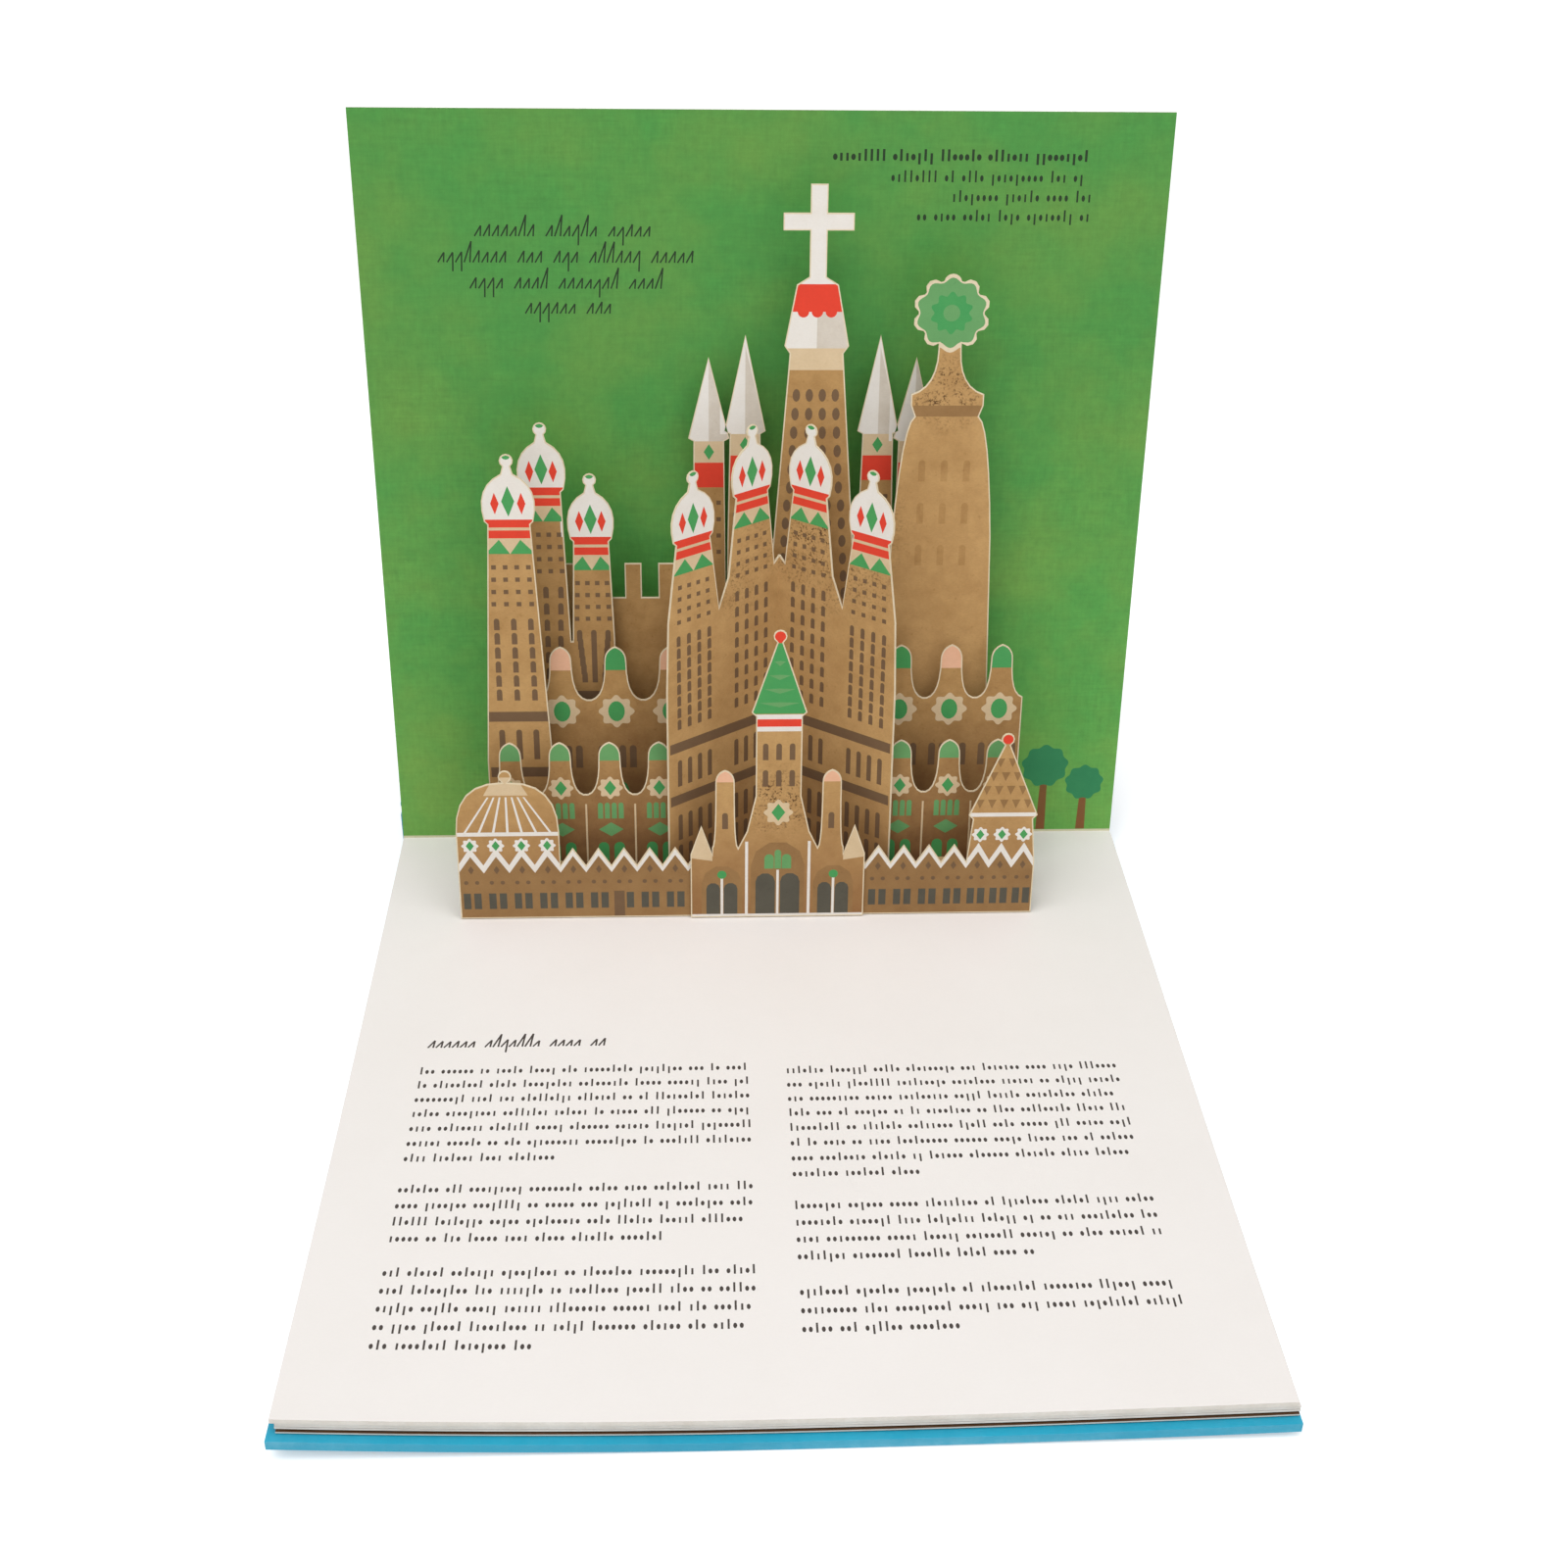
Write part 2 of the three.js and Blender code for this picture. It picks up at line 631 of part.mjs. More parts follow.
function spirelets() {
  const near = [NEAR_SPIRE_FOOT, NEAR_SPIRE_WALL, NEAR_SPIRE_ROOF];
  const far = [FAR_SPIRE_FOOT, FAR_SPIRE_WALL, FAR_SPIRE_ROOF];
  const skyline = [
    ...spirelet(SPIRE_CENTRE - FAR_SPIRE_OFFSET, ...far),
    ...spirelet(SPIRE_CENTRE - NEAR_SPIRE_OFFSET, ...near),
    ...spirelet(SPIRE_CENTRE + NEAR_SPIRE_OFFSET, ...near),
    ...spirelet(SPIRE_CENTRE + FAR_SPIRE_OFFSET, ...far),
  ];
  return card(skyline, SPIRELET_DEPTH, [[SPIRE_CENTRE - STRAP_WIDTH / 2, SPIRE_STRAP_HEIGHT, 0]]);
}

// The left half of a round form with lobes, from its neck up to its top.
function rosette(x, neck) {
  const height = neck + ROSETTE_RADIUS;
  const turn = 360 / ROSETTE_LOBES;
  const reach = ROSETTE_RADIUS - LOBE_INSET;
  const points = [];
  for (let i = 1; i <= ROSETTE_LOBES / 2; i++) {
    const facing = -90 - turn * i;
    const angle = THREE.MathUtils.degToRad(facing);
    const middle = [x + reach * Math.cos(angle), height + reach * Math.sin(angle)];
    const end = i < ROSETTE_LOBES / 2 ? facing - LOBE_TURN : facing;
    points.push(...arc(...middle, LOBE_RADIUS, facing + LOBE_TURN, end, LOBE_STEPS));
  }
  return points;
}

function rightTower() {
  const x = RIGHT_TOWER_X;
  const belt = RIGHT_TOWER_FOOT + RIGHT_TOWER_WALL;
  const shoulder = belt + RIGHT_SHOULDER_RISE;
  const cornice = shoulder + CORNICE_RISE;
  const throat = cornice + CORNICE_HEIGHT;
  const neck = throat + ROSETTE_NECK_HEIGHT;
  const beltLeft = x - RIGHT_TOWER_BELT_HALF;
  const neckLeft = x - ROSETTE_NECK_HALF;
  const haunch = [beltLeft + RIGHT_SHOULDER_ROUND, shoulder - RIGHT_SHOULDER_ROUND];
  const left = [
    [x - RIGHT_TOWER_HALF, RIGHT_TOWER_FOOT],
    ...bend([beltLeft, belt], haunch, [x - RIGHT_SHOULDER_HALF, shoulder]),
    [x - CORNICE_HALF, cornice],
    ...bend([x - CORNICE_HALF, throat], [neckLeft, throat + ROSETTE_NECK_ROUND], [neckLeft, neck]),
    ...rosette(x, neck),
  ];
  return card(bothSides(x, left), REAR_TOWER_DEPTH, [[RIGHT_TOWER_STRAP, RIGHT_TOWER_STRAP_HEIGHT, 0]]);
}

// Pages and case

function backCover() {
  const half = COVER_WIDTH / 2;
  const boardEnd = HINGE_SETBACK - NOSE_RADIUS - GAP - JOINT_WIDTH;
  const wrapEnd = HINGE_SETBACK - NOSE_RADIUS - GAP;
  return joined([
    lyingSlab(-half, half, -COVER_FORE, boardEnd, 0, BOARD),
    block([-half, boardEnd - JOIN, 0], [half, wrapEnd, WRAP]),
  ]);
}

function lowerLeaves() {
  const half = PAGE_WIDTH / 2;
  const right = half + BLOCK_SHIFT;
  const left = -half + BLOCK_SHIFT;
  const top = LEAF_BOTTOM + LEAF_STACK;
  const slitTop = top - LEAF_UPPER;
  const slitBottom = slitTop - LEAF_SLIT;
  const fore = -PAGE_DEPTH;
  return joined([
    lyingSlab(left, right, fore, BLOCK_SETBACK, LEAF_BOTTOM, slitBottom),
    lyingSlab(
      left + SLIT_DEPTH, right - SLIT_DEPTH, fore + SLIT_DEPTH, BLOCK_SETBACK,
      slitBottom - JOIN, slitTop + JOIN,
    ),
    lyingSlab(left, right, fore, BLOCK_SETBACK, slitTop, top),
  ]);
}

function popUpSheet() {
  const half = PAGE_WIDTH / 2;
  const foot = PAGE_TOP - SHEET_THICKNESS / 2;
  const leaf = block([-half, 0, 0], [half, STANDING_THICKNESS, PAGE_DEPTH + SHEET_THICKNESS / 2]);
  leaf.applyMatrix4(new THREE.Matrix4().makeBasis(new THREE.Vector3(1, 0, 0), BACK, UP));
  leaf.translate(0, 0, foot);
  const back = STANDING_THICKNESS / 2;
  return joined([lyingSlab(-half, half, -PAGE_DEPTH, back, SHEET_BOTTOM, PAGE_TOP), leaf]);
}

// The spine board stands between the two hinge lines. Its own place is at the lower one.
function spineBoard() {
  const half = COVER_WIDTH / 2;
  const upperEnd = SPINE_HEIGHT - NOSE_RADIUS - GAP;
  const inside = NOSE_RADIUS - BOARD;
  return joined([
    alongGutter(nose(), -half, half),
    block([-half, NOSE_RADIUS - WRAP, 0], [half, NOSE_RADIUS, upperEnd]),
    block([-half, inside, JOINT_WIDTH], [half, NOSE_RADIUS, upperEnd - JOINT_WIDTH]),
  ]);
}

// The front cover, from the upper hinge line out along Y, its inner side up.
function frontCover() {
  const half = COVER_WIDTH / 2;
  const boardStart = JOINT_WIDTH + NOSE_RADIUS;
  return joined([
    alongGutter(nose(), -half, half),
    block([-half, 0, -NOSE_RADIUS], [half, boardStart + JOIN, WRAP - NOSE_RADIUS]),
    block([-half, boardStart, -NOSE_RADIUS], [half, COVER_REACH, BOARD - NOSE_RADIUS]),
  ]);
}

function earlierLeaves() {
  const half = PAGE_WIDTH / 2;
  const bottom = BOARD - NOSE_RADIUS + GAP;
  const top = bottom + EARLIER_THICKNESS;
  const fore = COVER_REACH - FORE_MARGIN;
  const start = fore - PAGE_DEPTH;
  const profile = [[start, bottom], [fore, bottom], [fore, top], [start + EARLIER_FAN, top]];
  return alongGutter(profile, -half, half);
}

// Assembly

function finish(color, roughness) {
  return new THREE.MeshStandardMaterial({ color, roughness, metalness: 0 });
}

function piece(name, geometry, material) {
  const mesh = new THREE.Mesh(geometry, material);
  mesh.name = name;
  return mesh;
}

const coverWrap = () => finish(0x3cb4d7, 0.4);
const leafEdge = () => finish(0xe9e3da, 0.8);
const book = new THREE.Group();

book.add(piece("back_cover", backCover(), coverWrap()));
book.add(piece("lower_leaves", lowerLeaves(), leafEdge()));
book.add(piece("pop_up_sheet", popUpSheet(), finish(0xf2eeea, 0.7)));

const town = {
  front_terrace: frontTerrace(),
  gatehouse: gatehouse(),
  front_facade: frontFacade(),
  left_low_gables: leftLowGables(),
  left_high_gables: leftHighGables(),
  right_low_gables: rightLowGables(),
  right_high_gables: rightHighGables(),
  left_front_tower: leftFrontTower(),
  left_rear_towers: leftRearTowers(),
  battlement_wall: battlementWall(),
  tall_tower: tallTower(),
  spirelets: spirelets(),
  right_tower: rightTower(),
};
for (const [name, geometry] of Object.entries(town)) {
  book.add(piece(name, geometry, finish(0xb9966a, 0.85)));
}

const spine = new THREE.Group();
spine.position.set(0, HINGE_SETBACK, NOSE_RADIUS);
spine.add(piece("spine_board", spineBoard(), coverWrap()));
book.add(spine);

// The front cover slopes from the top of the spine down to the table.
const front = new THREE.Group();
front.position.set(0, 0, SPINE_HEIGHT);
front.rotation.x = -Math.asin(SPINE_HEIGHT / Math.hypot(COVER_REACH, NOSE_RADIUS));
front.add(piece("front_cover", frontCover(), coverWrap()));
front.add(piece("earlier_leaves", earlierLeaves(), leafEdge()));
spine.add(front);

export default book;
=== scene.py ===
import math
import random

import bpy
from mathutils import Matrix, Vector
from mathutils.geometry import delaunay_2d_cdt


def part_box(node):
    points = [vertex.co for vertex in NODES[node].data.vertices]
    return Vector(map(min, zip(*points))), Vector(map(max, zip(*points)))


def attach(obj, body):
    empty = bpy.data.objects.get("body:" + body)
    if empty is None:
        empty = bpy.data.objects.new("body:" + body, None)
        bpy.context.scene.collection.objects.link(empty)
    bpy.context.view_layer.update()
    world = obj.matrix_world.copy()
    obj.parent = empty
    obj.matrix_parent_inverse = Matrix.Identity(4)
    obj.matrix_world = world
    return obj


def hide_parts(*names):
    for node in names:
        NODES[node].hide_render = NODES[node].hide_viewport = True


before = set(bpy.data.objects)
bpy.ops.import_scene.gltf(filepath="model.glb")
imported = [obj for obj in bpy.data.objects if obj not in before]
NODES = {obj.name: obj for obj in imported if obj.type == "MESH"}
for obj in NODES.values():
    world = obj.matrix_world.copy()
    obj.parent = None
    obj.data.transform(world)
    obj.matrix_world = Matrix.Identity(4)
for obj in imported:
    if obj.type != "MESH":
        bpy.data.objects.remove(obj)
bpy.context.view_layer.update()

MM = 0.001
# How far a corner may lie off its card's front face, and how high the points of a card's foot reach
FACE_SLACK = 0.02
FOOT_BAND = 0.5
LYING = "lying_half"

# The sizes that the solids were made with
PAGE_WIDTH = 210
PAGE_DEPTH = 209
PAGE_TOP = 7.0
SHEET_THICKNESS = 1.2
STANDING_THICKNESS = 0.7
CARD = 0.4
CARD_FOOT = PAGE_TOP + 0.3
LEAN = math.radians(5.4)
LIFT_LEFT = 3.6
LIFT_RIGHT = 1.6
FLAT_DEPTH = 70

ALONG = Vector((1, 0, 0))
UP = Vector((0, math.sin(LEAN), math.cos(LEAN)))
BACK = Vector((0, math.cos(LEAN), -math.sin(LEAN)))

# Distance of each card in front of the standing page
DEPTHS = {
    "spirelets": 6,
    "battlement_wall": 10,
    "tall_tower": 11.5,
    "left_rear_towers": 14,
    "right_tower": 14,
    "left_high_gables": 19,
    "right_high_gables": 19,
    "left_front_tower": 25,
    "left_low_gables": 31,
    "right_low_gables": 31,
    "front_terrace": 40,
    "gatehouse": 40.7,
}
CREASE_X = 4.3
CREASE_DEPTH = 15
WING_DEPTH = 36
WING_SPREAD = 30.5
WING_LENGTH = math.hypot(WING_SPREAD, WING_DEPTH - CREASE_DEPTH)

# Each card's foot is folded back as a tab; straps are (left end, height, distance of what it is glued to)
TAB_LENGTH = 3.5
TAB_INSET = 2
STRAP_WIDTH = 9
STRAP_GAP = 0.3
NO_TAB = ("gatehouse",)
STRAPS = {
    "front_terrace": [(-65, 12, 31), (47, 12, 31)],
    "left_low_gables": [(-52, 16, 19)],
    "left_high_gables": [(-38, 30, 10)],
    "right_high_gables": [(36, 30, 14)],
    "right_low_gables": [(48, 16, 19)],
    "left_front_tower": [(-76, 40, 0)],
    "left_rear_towers": [(-65.4, 60, 0)],
    "battlement_wall": [(-44, 45, 0)],
    "tall_tower": [(9, 60, 6)],
    "spirelets": [(8.4, 80, 0)],
    "right_tower": [(51, 60, 0)],
}


# Shader groups


def linear(red, green, blue):
    """A colour given as it looks on screen, 0 to 255, as the shaders take it."""
    def channel(value):
        value /= 255
        return value / 12.92 if value <= 0.04045 else ((value + 0.055) / 1.055) ** 2.4
    return (channel(red), channel(green), channel(blue), 1.0)


class Tree:
    """Short calls for adding and joining nodes in one tree."""

    def __init__(self, tree):
        self.tree = tree

    def node(self, kind, inputs=None, **settings):
        node = self.tree.nodes.new(kind)
        for key, value in settings.items():
            setattr(node, key, value)
        for key, value in (inputs or {}).items():
            self.set(node.inputs[key], value)
        return node

    def set(self, socket, value):
        if isinstance(value, bpy.types.NodeSocket):
            self.tree.links.new(value, socket)
        else:
            socket.default_value = value

    def maths(self, operation, *values, clamp=False):
        node = self.tree.nodes.new("ShaderNodeMath")
        node.operation = operation
        node.use_clamp = clamp
        for socket, value in zip(node.inputs, values):
            self.set(socket, value)
        return node.outputs[0]

    def mix(self, factor, first, second, blend="MIX"):
        node = self.tree.nodes.new("ShaderNodeMix")
        node.data_type = "RGBA"
        node.blend_type = blend
        self.set(node.inputs["Factor"], factor)
        self.set(node.inputs[6], first)
        self.set(node.inputs[7], second)
        return node.outputs[2]

    def spread(self, value, low, high, to_low=0.0, to_high=1.0):
        node = self.node("ShaderNodeMapRange", {"Value": value, "From Min": low, "From Max": high})
        node.inputs["To Min"].default_value = to_low
        node.inputs["To Max"].default_value = to_high
        return node.outputs[0]

    def noise(self, place, scale, detail=2.0, roughness=0.5):
        node = self.node(
            "ShaderNodeTexNoise",
            {"Vector": place, "Scale": scale, "Detail": detail, "Roughness": roughness},
        )
        return node.outputs["Fac"]


def new_group(name, inputs, outputs):
    """A shader group with its sockets; inputs are (name, kind, default)."""
    group = bpy.data.node_groups.new(name, "ShaderNodeTree")
    for label, kind, default in inputs:
        socket = group.interface.new_socket(label, in_out="INPUT", socket_type=kind)
        socket.default_value = default
    for label, kind in outputs:
        group.interface.new_socket(label, in_out="OUTPUT", socket_type=kind)
    tree = Tree(group)
    return group, tree, tree.node("NodeGroupInput"), tree.node("NodeGroupOutput")


COLOUR, NUMBER = "NodeSocketColor", "NodeSocketFloat"


def printed_card_group():
    """Ink on uncoated card: clouds of a second shade, mottle, fibres and fine specks."""
    group, tree, given, out = new_group(
        "printed_card",
        [
            ("Colour", COLOUR, (1, 1, 1, 1)),
            ("Shade", COLOUR, (0.5, 0.5, 0.5, 1)),
            ("Cloud", NUMBER, 0.5),
            ("Mottle", NUMBER, 0.5),
            ("Fibre", NUMBER, 0.5),
            ("Specks", NUMBER, 0.3),
            ("Base Roughness", NUMBER, 0.8),
        ],
        [("Colour", COLOUR), ("Roughness", NUMBER), ("Height", NUMBER)],
    )
    place = tree.node("ShaderNodeTexCoord").outputs["Object"]
    cloud = tree.spread(tree.noise(place, 28, 3, 0.6), 0.38, 0.68)
    mottle = tree.spread(tree.noise(place, 210, 5, 0.62), 0.36, 0.7)
    stretched = tree.node("ShaderNodeMapping", {"Vector": place, "Scale": (0.55, 1.0, 1.35)}).outputs[0]
    fibre = tree.noise(stretched, 2300, 3, 0.6)
    speck = tree.spread(tree.noise(place, 900, 2, 0.5), 0.66, 0.76)
    shade = tree.maths("MULTIPLY", cloud, given.outputs["Cloud"])
    shade = tree.maths("ADD", shade, tree.maths("MULTIPLY", mottle, given.outputs["Mottle"]))
    speckled = tree.maths("MULTIPLY", speck, given.outputs["Specks"])
    shade = tree.maths("ADD", shade, speckled, clamp=True)
    toned = tree.mix(shade, given.outputs["Colour"], given.outputs["Shade"])
    swing = tree.maths("MULTIPLY", tree.maths("SUBTRACT", fibre, 0.5), given.outputs["Fibre"])
    tone = tree.maths("ADD", 1.0, swing)
    grey = tree.node("ShaderNodeCombineColor", {"Red": tone, "Green": tone, "Blue": tone}).outputs[0]
    final = tree.mix(1.0, toned, grey, "MULTIPLY")
    rough = tree.maths("ADD", given.outputs["Base Roughness"], tree.maths("MULTIPLY", swing, 0.5))
    tree.set(out.inputs["Colour"], final)
    tree.set(out.inputs["Roughness"], rough)
    height = tree.maths("ADD", fibre, tree.maths("MULTIPLY", mottle, 0.6))
    tree.set(out.inputs["Height"], height)
    return group


def foot_shade_group():
    """A soft mask that is 1 low down on a card and 0 higher up, with a ragged edge, for placing painted
    shade by height.
    """
    group, tree, given, out = new_group(
        "foot_shade",
        [("Low", NUMBER, 0.01), ("High", NUMBER, 0.06), ("Ragged", NUMBER, 0.3)],
        [("Mask", NUMBER)],
    )
    place = tree.node("ShaderNodeTexCoord").outputs["Object"]
    height = tree.node("ShaderNodeSeparateXYZ", {"Vector": place}).outputs["Z"]
    reach = tree.maths("SUBTRACT", given.outputs["High"], given.outputs["Low"])
    climb = tree.maths("DIVIDE", tree.maths("SUBTRACT", height, given.outputs["Low"]), reach)
    wave = tree.maths("SUBTRACT", tree.noise(place, 95, 5, 0.7), 0.5)
    climb = tree.maths("ADD", climb, tree.maths("MULTIPLY", wave, given.outputs["Ragged"]))
    mask = tree.maths("SUBTRACT", 1.0, climb, clamp=True)
    tree.set(out.inputs["Mask"], mask)
    return group


def scuffed_patch_group():
    """A mask of rubbed specks that gather round one place and thin out away from it."""
    group, tree, given, out = new_group(
        "scuffed_patch",
        [("Centre", "NodeSocketVector", (0, 0, 0)), ("Reach", NUMBER, 0.02), ("Amount", NUMBER, 0.7)],
        [("Mask", NUMBER)],
    )
    place = tree.node("ShaderNodeTexCoord").outputs["Object"]
    away = tree.node("ShaderNodeVectorMath", {0: place, 1: given.outputs["Centre"]}, operation="DISTANCE")
    near = tree.maths("SUBTRACT", 1.0, tree.maths("DIVIDE", away.outputs["Value"], given.outputs["Reach"]))
    clumps = tree.spread(tree.noise(place, 240, 4, 0.7), 0.38, 0.7)
    specks = tree.spread(tree.noise(place, 1500, 3, 0.65), 0.5, 0.62)
    level = tree.maths("MULTIPLY", tree.maths("MULTIPLY", near, clumps, clamp=True), specks)
    mask = tree.maths("MULTIPLY", level, given.outputs["Amount"])
    tree.set(out.inputs["Mask"], tree.maths("MULTIPLY", mask, 4.0, clamp=True))
    return group


def canvas_group():
    """The print of a worn woven cloth: streaks along and across that come and go, with clouds of wear."""
    group, tree, given, out = new_group(
        "canvas_print",
        [("Threads", NUMBER, 900), ("Strength", NUMBER, 0.2), ("Wear", NUMBER, 0.1)],
        [("Tone", NUMBER), ("Height", NUMBER)],
    )
    place = tree.node("ShaderNodeTexCoord").outputs["Object"]
    worn = tree.spread(tree.noise(place, 34, 5, 0.7), 0.3, 0.7, 0.25, 1.0)
    runs = []
    for stretch in ((0.07, 1, 1), (1, 1, 0.07)):
        lengthways = tree.node("ShaderNodeMapping", {"Vector": place, "Scale": stretch}).outputs[0]
        threads = tree.noise(lengthways, given.outputs["Threads"], 3, 0.75)
        runs.append(tree.maths("SUBTRACT", threads, 0.5))
    weave = tree.maths("MULTIPLY", tree.maths("ADD", runs[0], runs[1]), worn)
    blotch = tree.maths("SUBTRACT", tree.noise(place, 480, 4, 0.7), 0.5)
    swing = tree.maths("MULTIPLY", weave, given.outputs["Strength"])
    swing = tree.maths("ADD", swing, tree.maths("MULTIPLY", blotch, given.outputs["Wear"]))
    tree.set(out.inputs["Tone"], tree.maths("ADD", 1.0, swing))
    tree.set(out.inputs["Height"], weave)
    return group


def edge_wear_group():
    """A mask of rubbed edges, from how sharply the surface turns."""
    group, tree, given, out = new_group(
        "edge_wear",
        [("Width", NUMBER, 0.08), ("Break Up", NUMBER, 0.5)],
        [("Mask", NUMBER)],
    )
    place = tree.node("ShaderNodeTexCoord").outputs["Object"]
    point = tree.node("ShaderNodeNewGeometry").outputs["Pointiness"]
    high = tree.maths("ADD", 0.5, given.outputs["Width"])
    sharp = tree.node("ShaderNodeMapRange", {"Value": point, "From Min": 0.5, "From Max": high})
    chipped = tree.spread(tree.noise(place, 160, 5, 0.7), 0.42, 0.62)
    broken = tree.mix(given.outputs["Break Up"], (1, 1, 1, 1), chipped)
    mask = tree.maths("MULTIPLY", sharp.outputs[0], broken, clamp=True)
    tree.set(out.inputs["Mask"], mask)
    return group


PRINTED_CARD = printed_card_group()
FOOT_SHADE = foot_shade_group()
SCUFFS = scuffed_patch_group()
CANVAS = canvas_group()
EDGE_WEAR = edge_wear_group()


# Materials


def shader(material):
    """The tree of a new material and its Principled shader."""
    material.use_nodes = True
    tree = Tree(material.node_tree)
    return tree, material.node_tree.nodes["Principled BSDF"]


def put(tree, group, **values):
    """A group placed in a material, its inputs set by their names with spaces as underscores."""
    node = tree.node("ShaderNodeGroup", node_tree=group)
    for key, value in values.items():
        tree.set(node.inputs[key.replace("_", " ")], value)
    return node


def bump(tree, shade, height, strength, distance):
    node = tree.node("ShaderNodeBump", {"Height": height, "Strength": strength, "Distance": distance})
    tree.set(shade.inputs["Normal"], node.outputs[0])


def ink(name, colour, darker, cloud=0.25, mottle=0.3, fibre=0.16, specks=0.25, rough=0.78, foot=None,
        scuffs=()):
    """A field of ink on card. foot is (colour, low, high, ragged) of a darker band near the page, partly
    print and partly painted shade, and scuffs are (centre, reach) of rubbed patches."""
    material = bpy.data.materials.new(name)
    tree, shade = shader(material)
    card = put(
        tree, PRINTED_CARD, Colour=linear(*colour), Shade=linear(*darker), Cloud=cloud,
        Mottle=mottle, Fibre=fibre, Specks=specks, Base_Roughness=rough,
    )
    seen = card.outputs["Colour"]
    # foot: darker towards the page, partly the print's own darker foot and partly painted shade at the
    # card's base
    if foot:
        low = put(tree, FOOT_SHADE, Low=foot[1] * MM, High=foot[2] * MM, Ragged=foot[3])
        seen = tree.mix(low.outputs["Mask"], seen, linear(*foot[0]))
    for centre, reach in scuffs:
        rubbed = put(tree, SCUFFS, Centre=[value * MM for value in centre], Reach=reach * MM)
        seen = tree.mix(rubbed.outputs["Mask"], seen, linear(84, 56, 30))
    tree.set(shade.inputs["Base Color"], seen)
    tree.set(shade.inputs["Roughness"], card.outputs["Roughness"])
    shade.inputs["Specular IOR Level"].default_value = 0.3
    bump(tree, shade, card.outputs["Height"], 0.25, 0.00008)
    return material


def green_page():
    """The standing page: green printed with a cloth grain, yellower in clouds; painted shade darkens it
    towards the top, and the lighter base green low down is painted bounce light.
    """
    material = bpy.data.materials.new("green_page_print_and_painted_light")
    tree, shade = shader(material)
    # the base green is the lighter tone low down, painted bounce light from the white page; the Shade
    # colour is a yellower green in random clouds
    card = put(
        tree, PRINTED_CARD, Colour=linear(87, 163, 74), Shade=linear(122, 169, 74), Cloud=0.75,
        Mottle=0.12, Fibre=0.12, Specks=0.0, Base_Roughness=0.62,
    )
    # painted shade: darker towards the top of the page, full base green near the fold
    low = put(tree, FOOT_SHADE, Low=0.02, High=0.15, Ragged=0.7)
    painted_shade_tint = tree.mix(low.outputs["Mask"], (0.64, 0.72, 0.7, 1), (1, 1, 1, 1))
    printed = tree.mix(1.0, card.outputs["Colour"], painted_shade_tint, "MULTIPLY")
    canvas = put(tree, CANVAS, Threads=1100, Strength=0.4, Wear=0.34)
    tone = canvas.outputs["Tone"]
    grey = tree.node("ShaderNodeCombineColor", {"Red": tone, "Green": tone, "Blue": tone}).outputs[0]
    tree.set(shade.inputs["Base Color"], tree.mix(1.0, printed, grey, "MULTIPLY"))
    tree.set(shade.inputs["Roughness"], card.outputs["Roughness"])
    shade.inputs["Specular IOR Level"].default_value = 0.35
    bump(tree, shade, card.outputs["Height"], 0.2, 0.00006)
    return material


def cover_wrap():
    """Blue printed wrap paper with a matt film, rubbed pale along the edges of the board."""
    material = bpy.data.materials.new("blue_cover_wrap")
    tree, shade = shader(material)
    card = put(
        tree, PRINTED_CARD, Colour=linear(26, 160, 192), Shade=linear(16, 148, 182), Cloud=0.4,
        Mottle=0.25, Fibre=0.05, Specks=0.05, Base_Roughness=0.42,
    )
    worn = put(tree, EDGE_WEAR, Width=0.12, Break_Up=0.6)
    pale = tree.maths("MULTIPLY", worn.outputs["Mask"], 0.3)
    tree.set(shade.inputs["Base Color"], tree.mix(pale, card.outputs["Colour"], linear(168, 222, 238)))
    tree.set(shade.inputs["Roughness"], card.outputs["Roughness"])
    shade.inputs["Specular IOR Level"].default_value = 0.3
    shade.inputs["Coat Roughness"].default_value = 0.5
    shade.inputs["Coat Weight"].default_value = 0.04
    bump(tree, shade, card.outputs["Height"], 0.12, 0.00005)
    return material


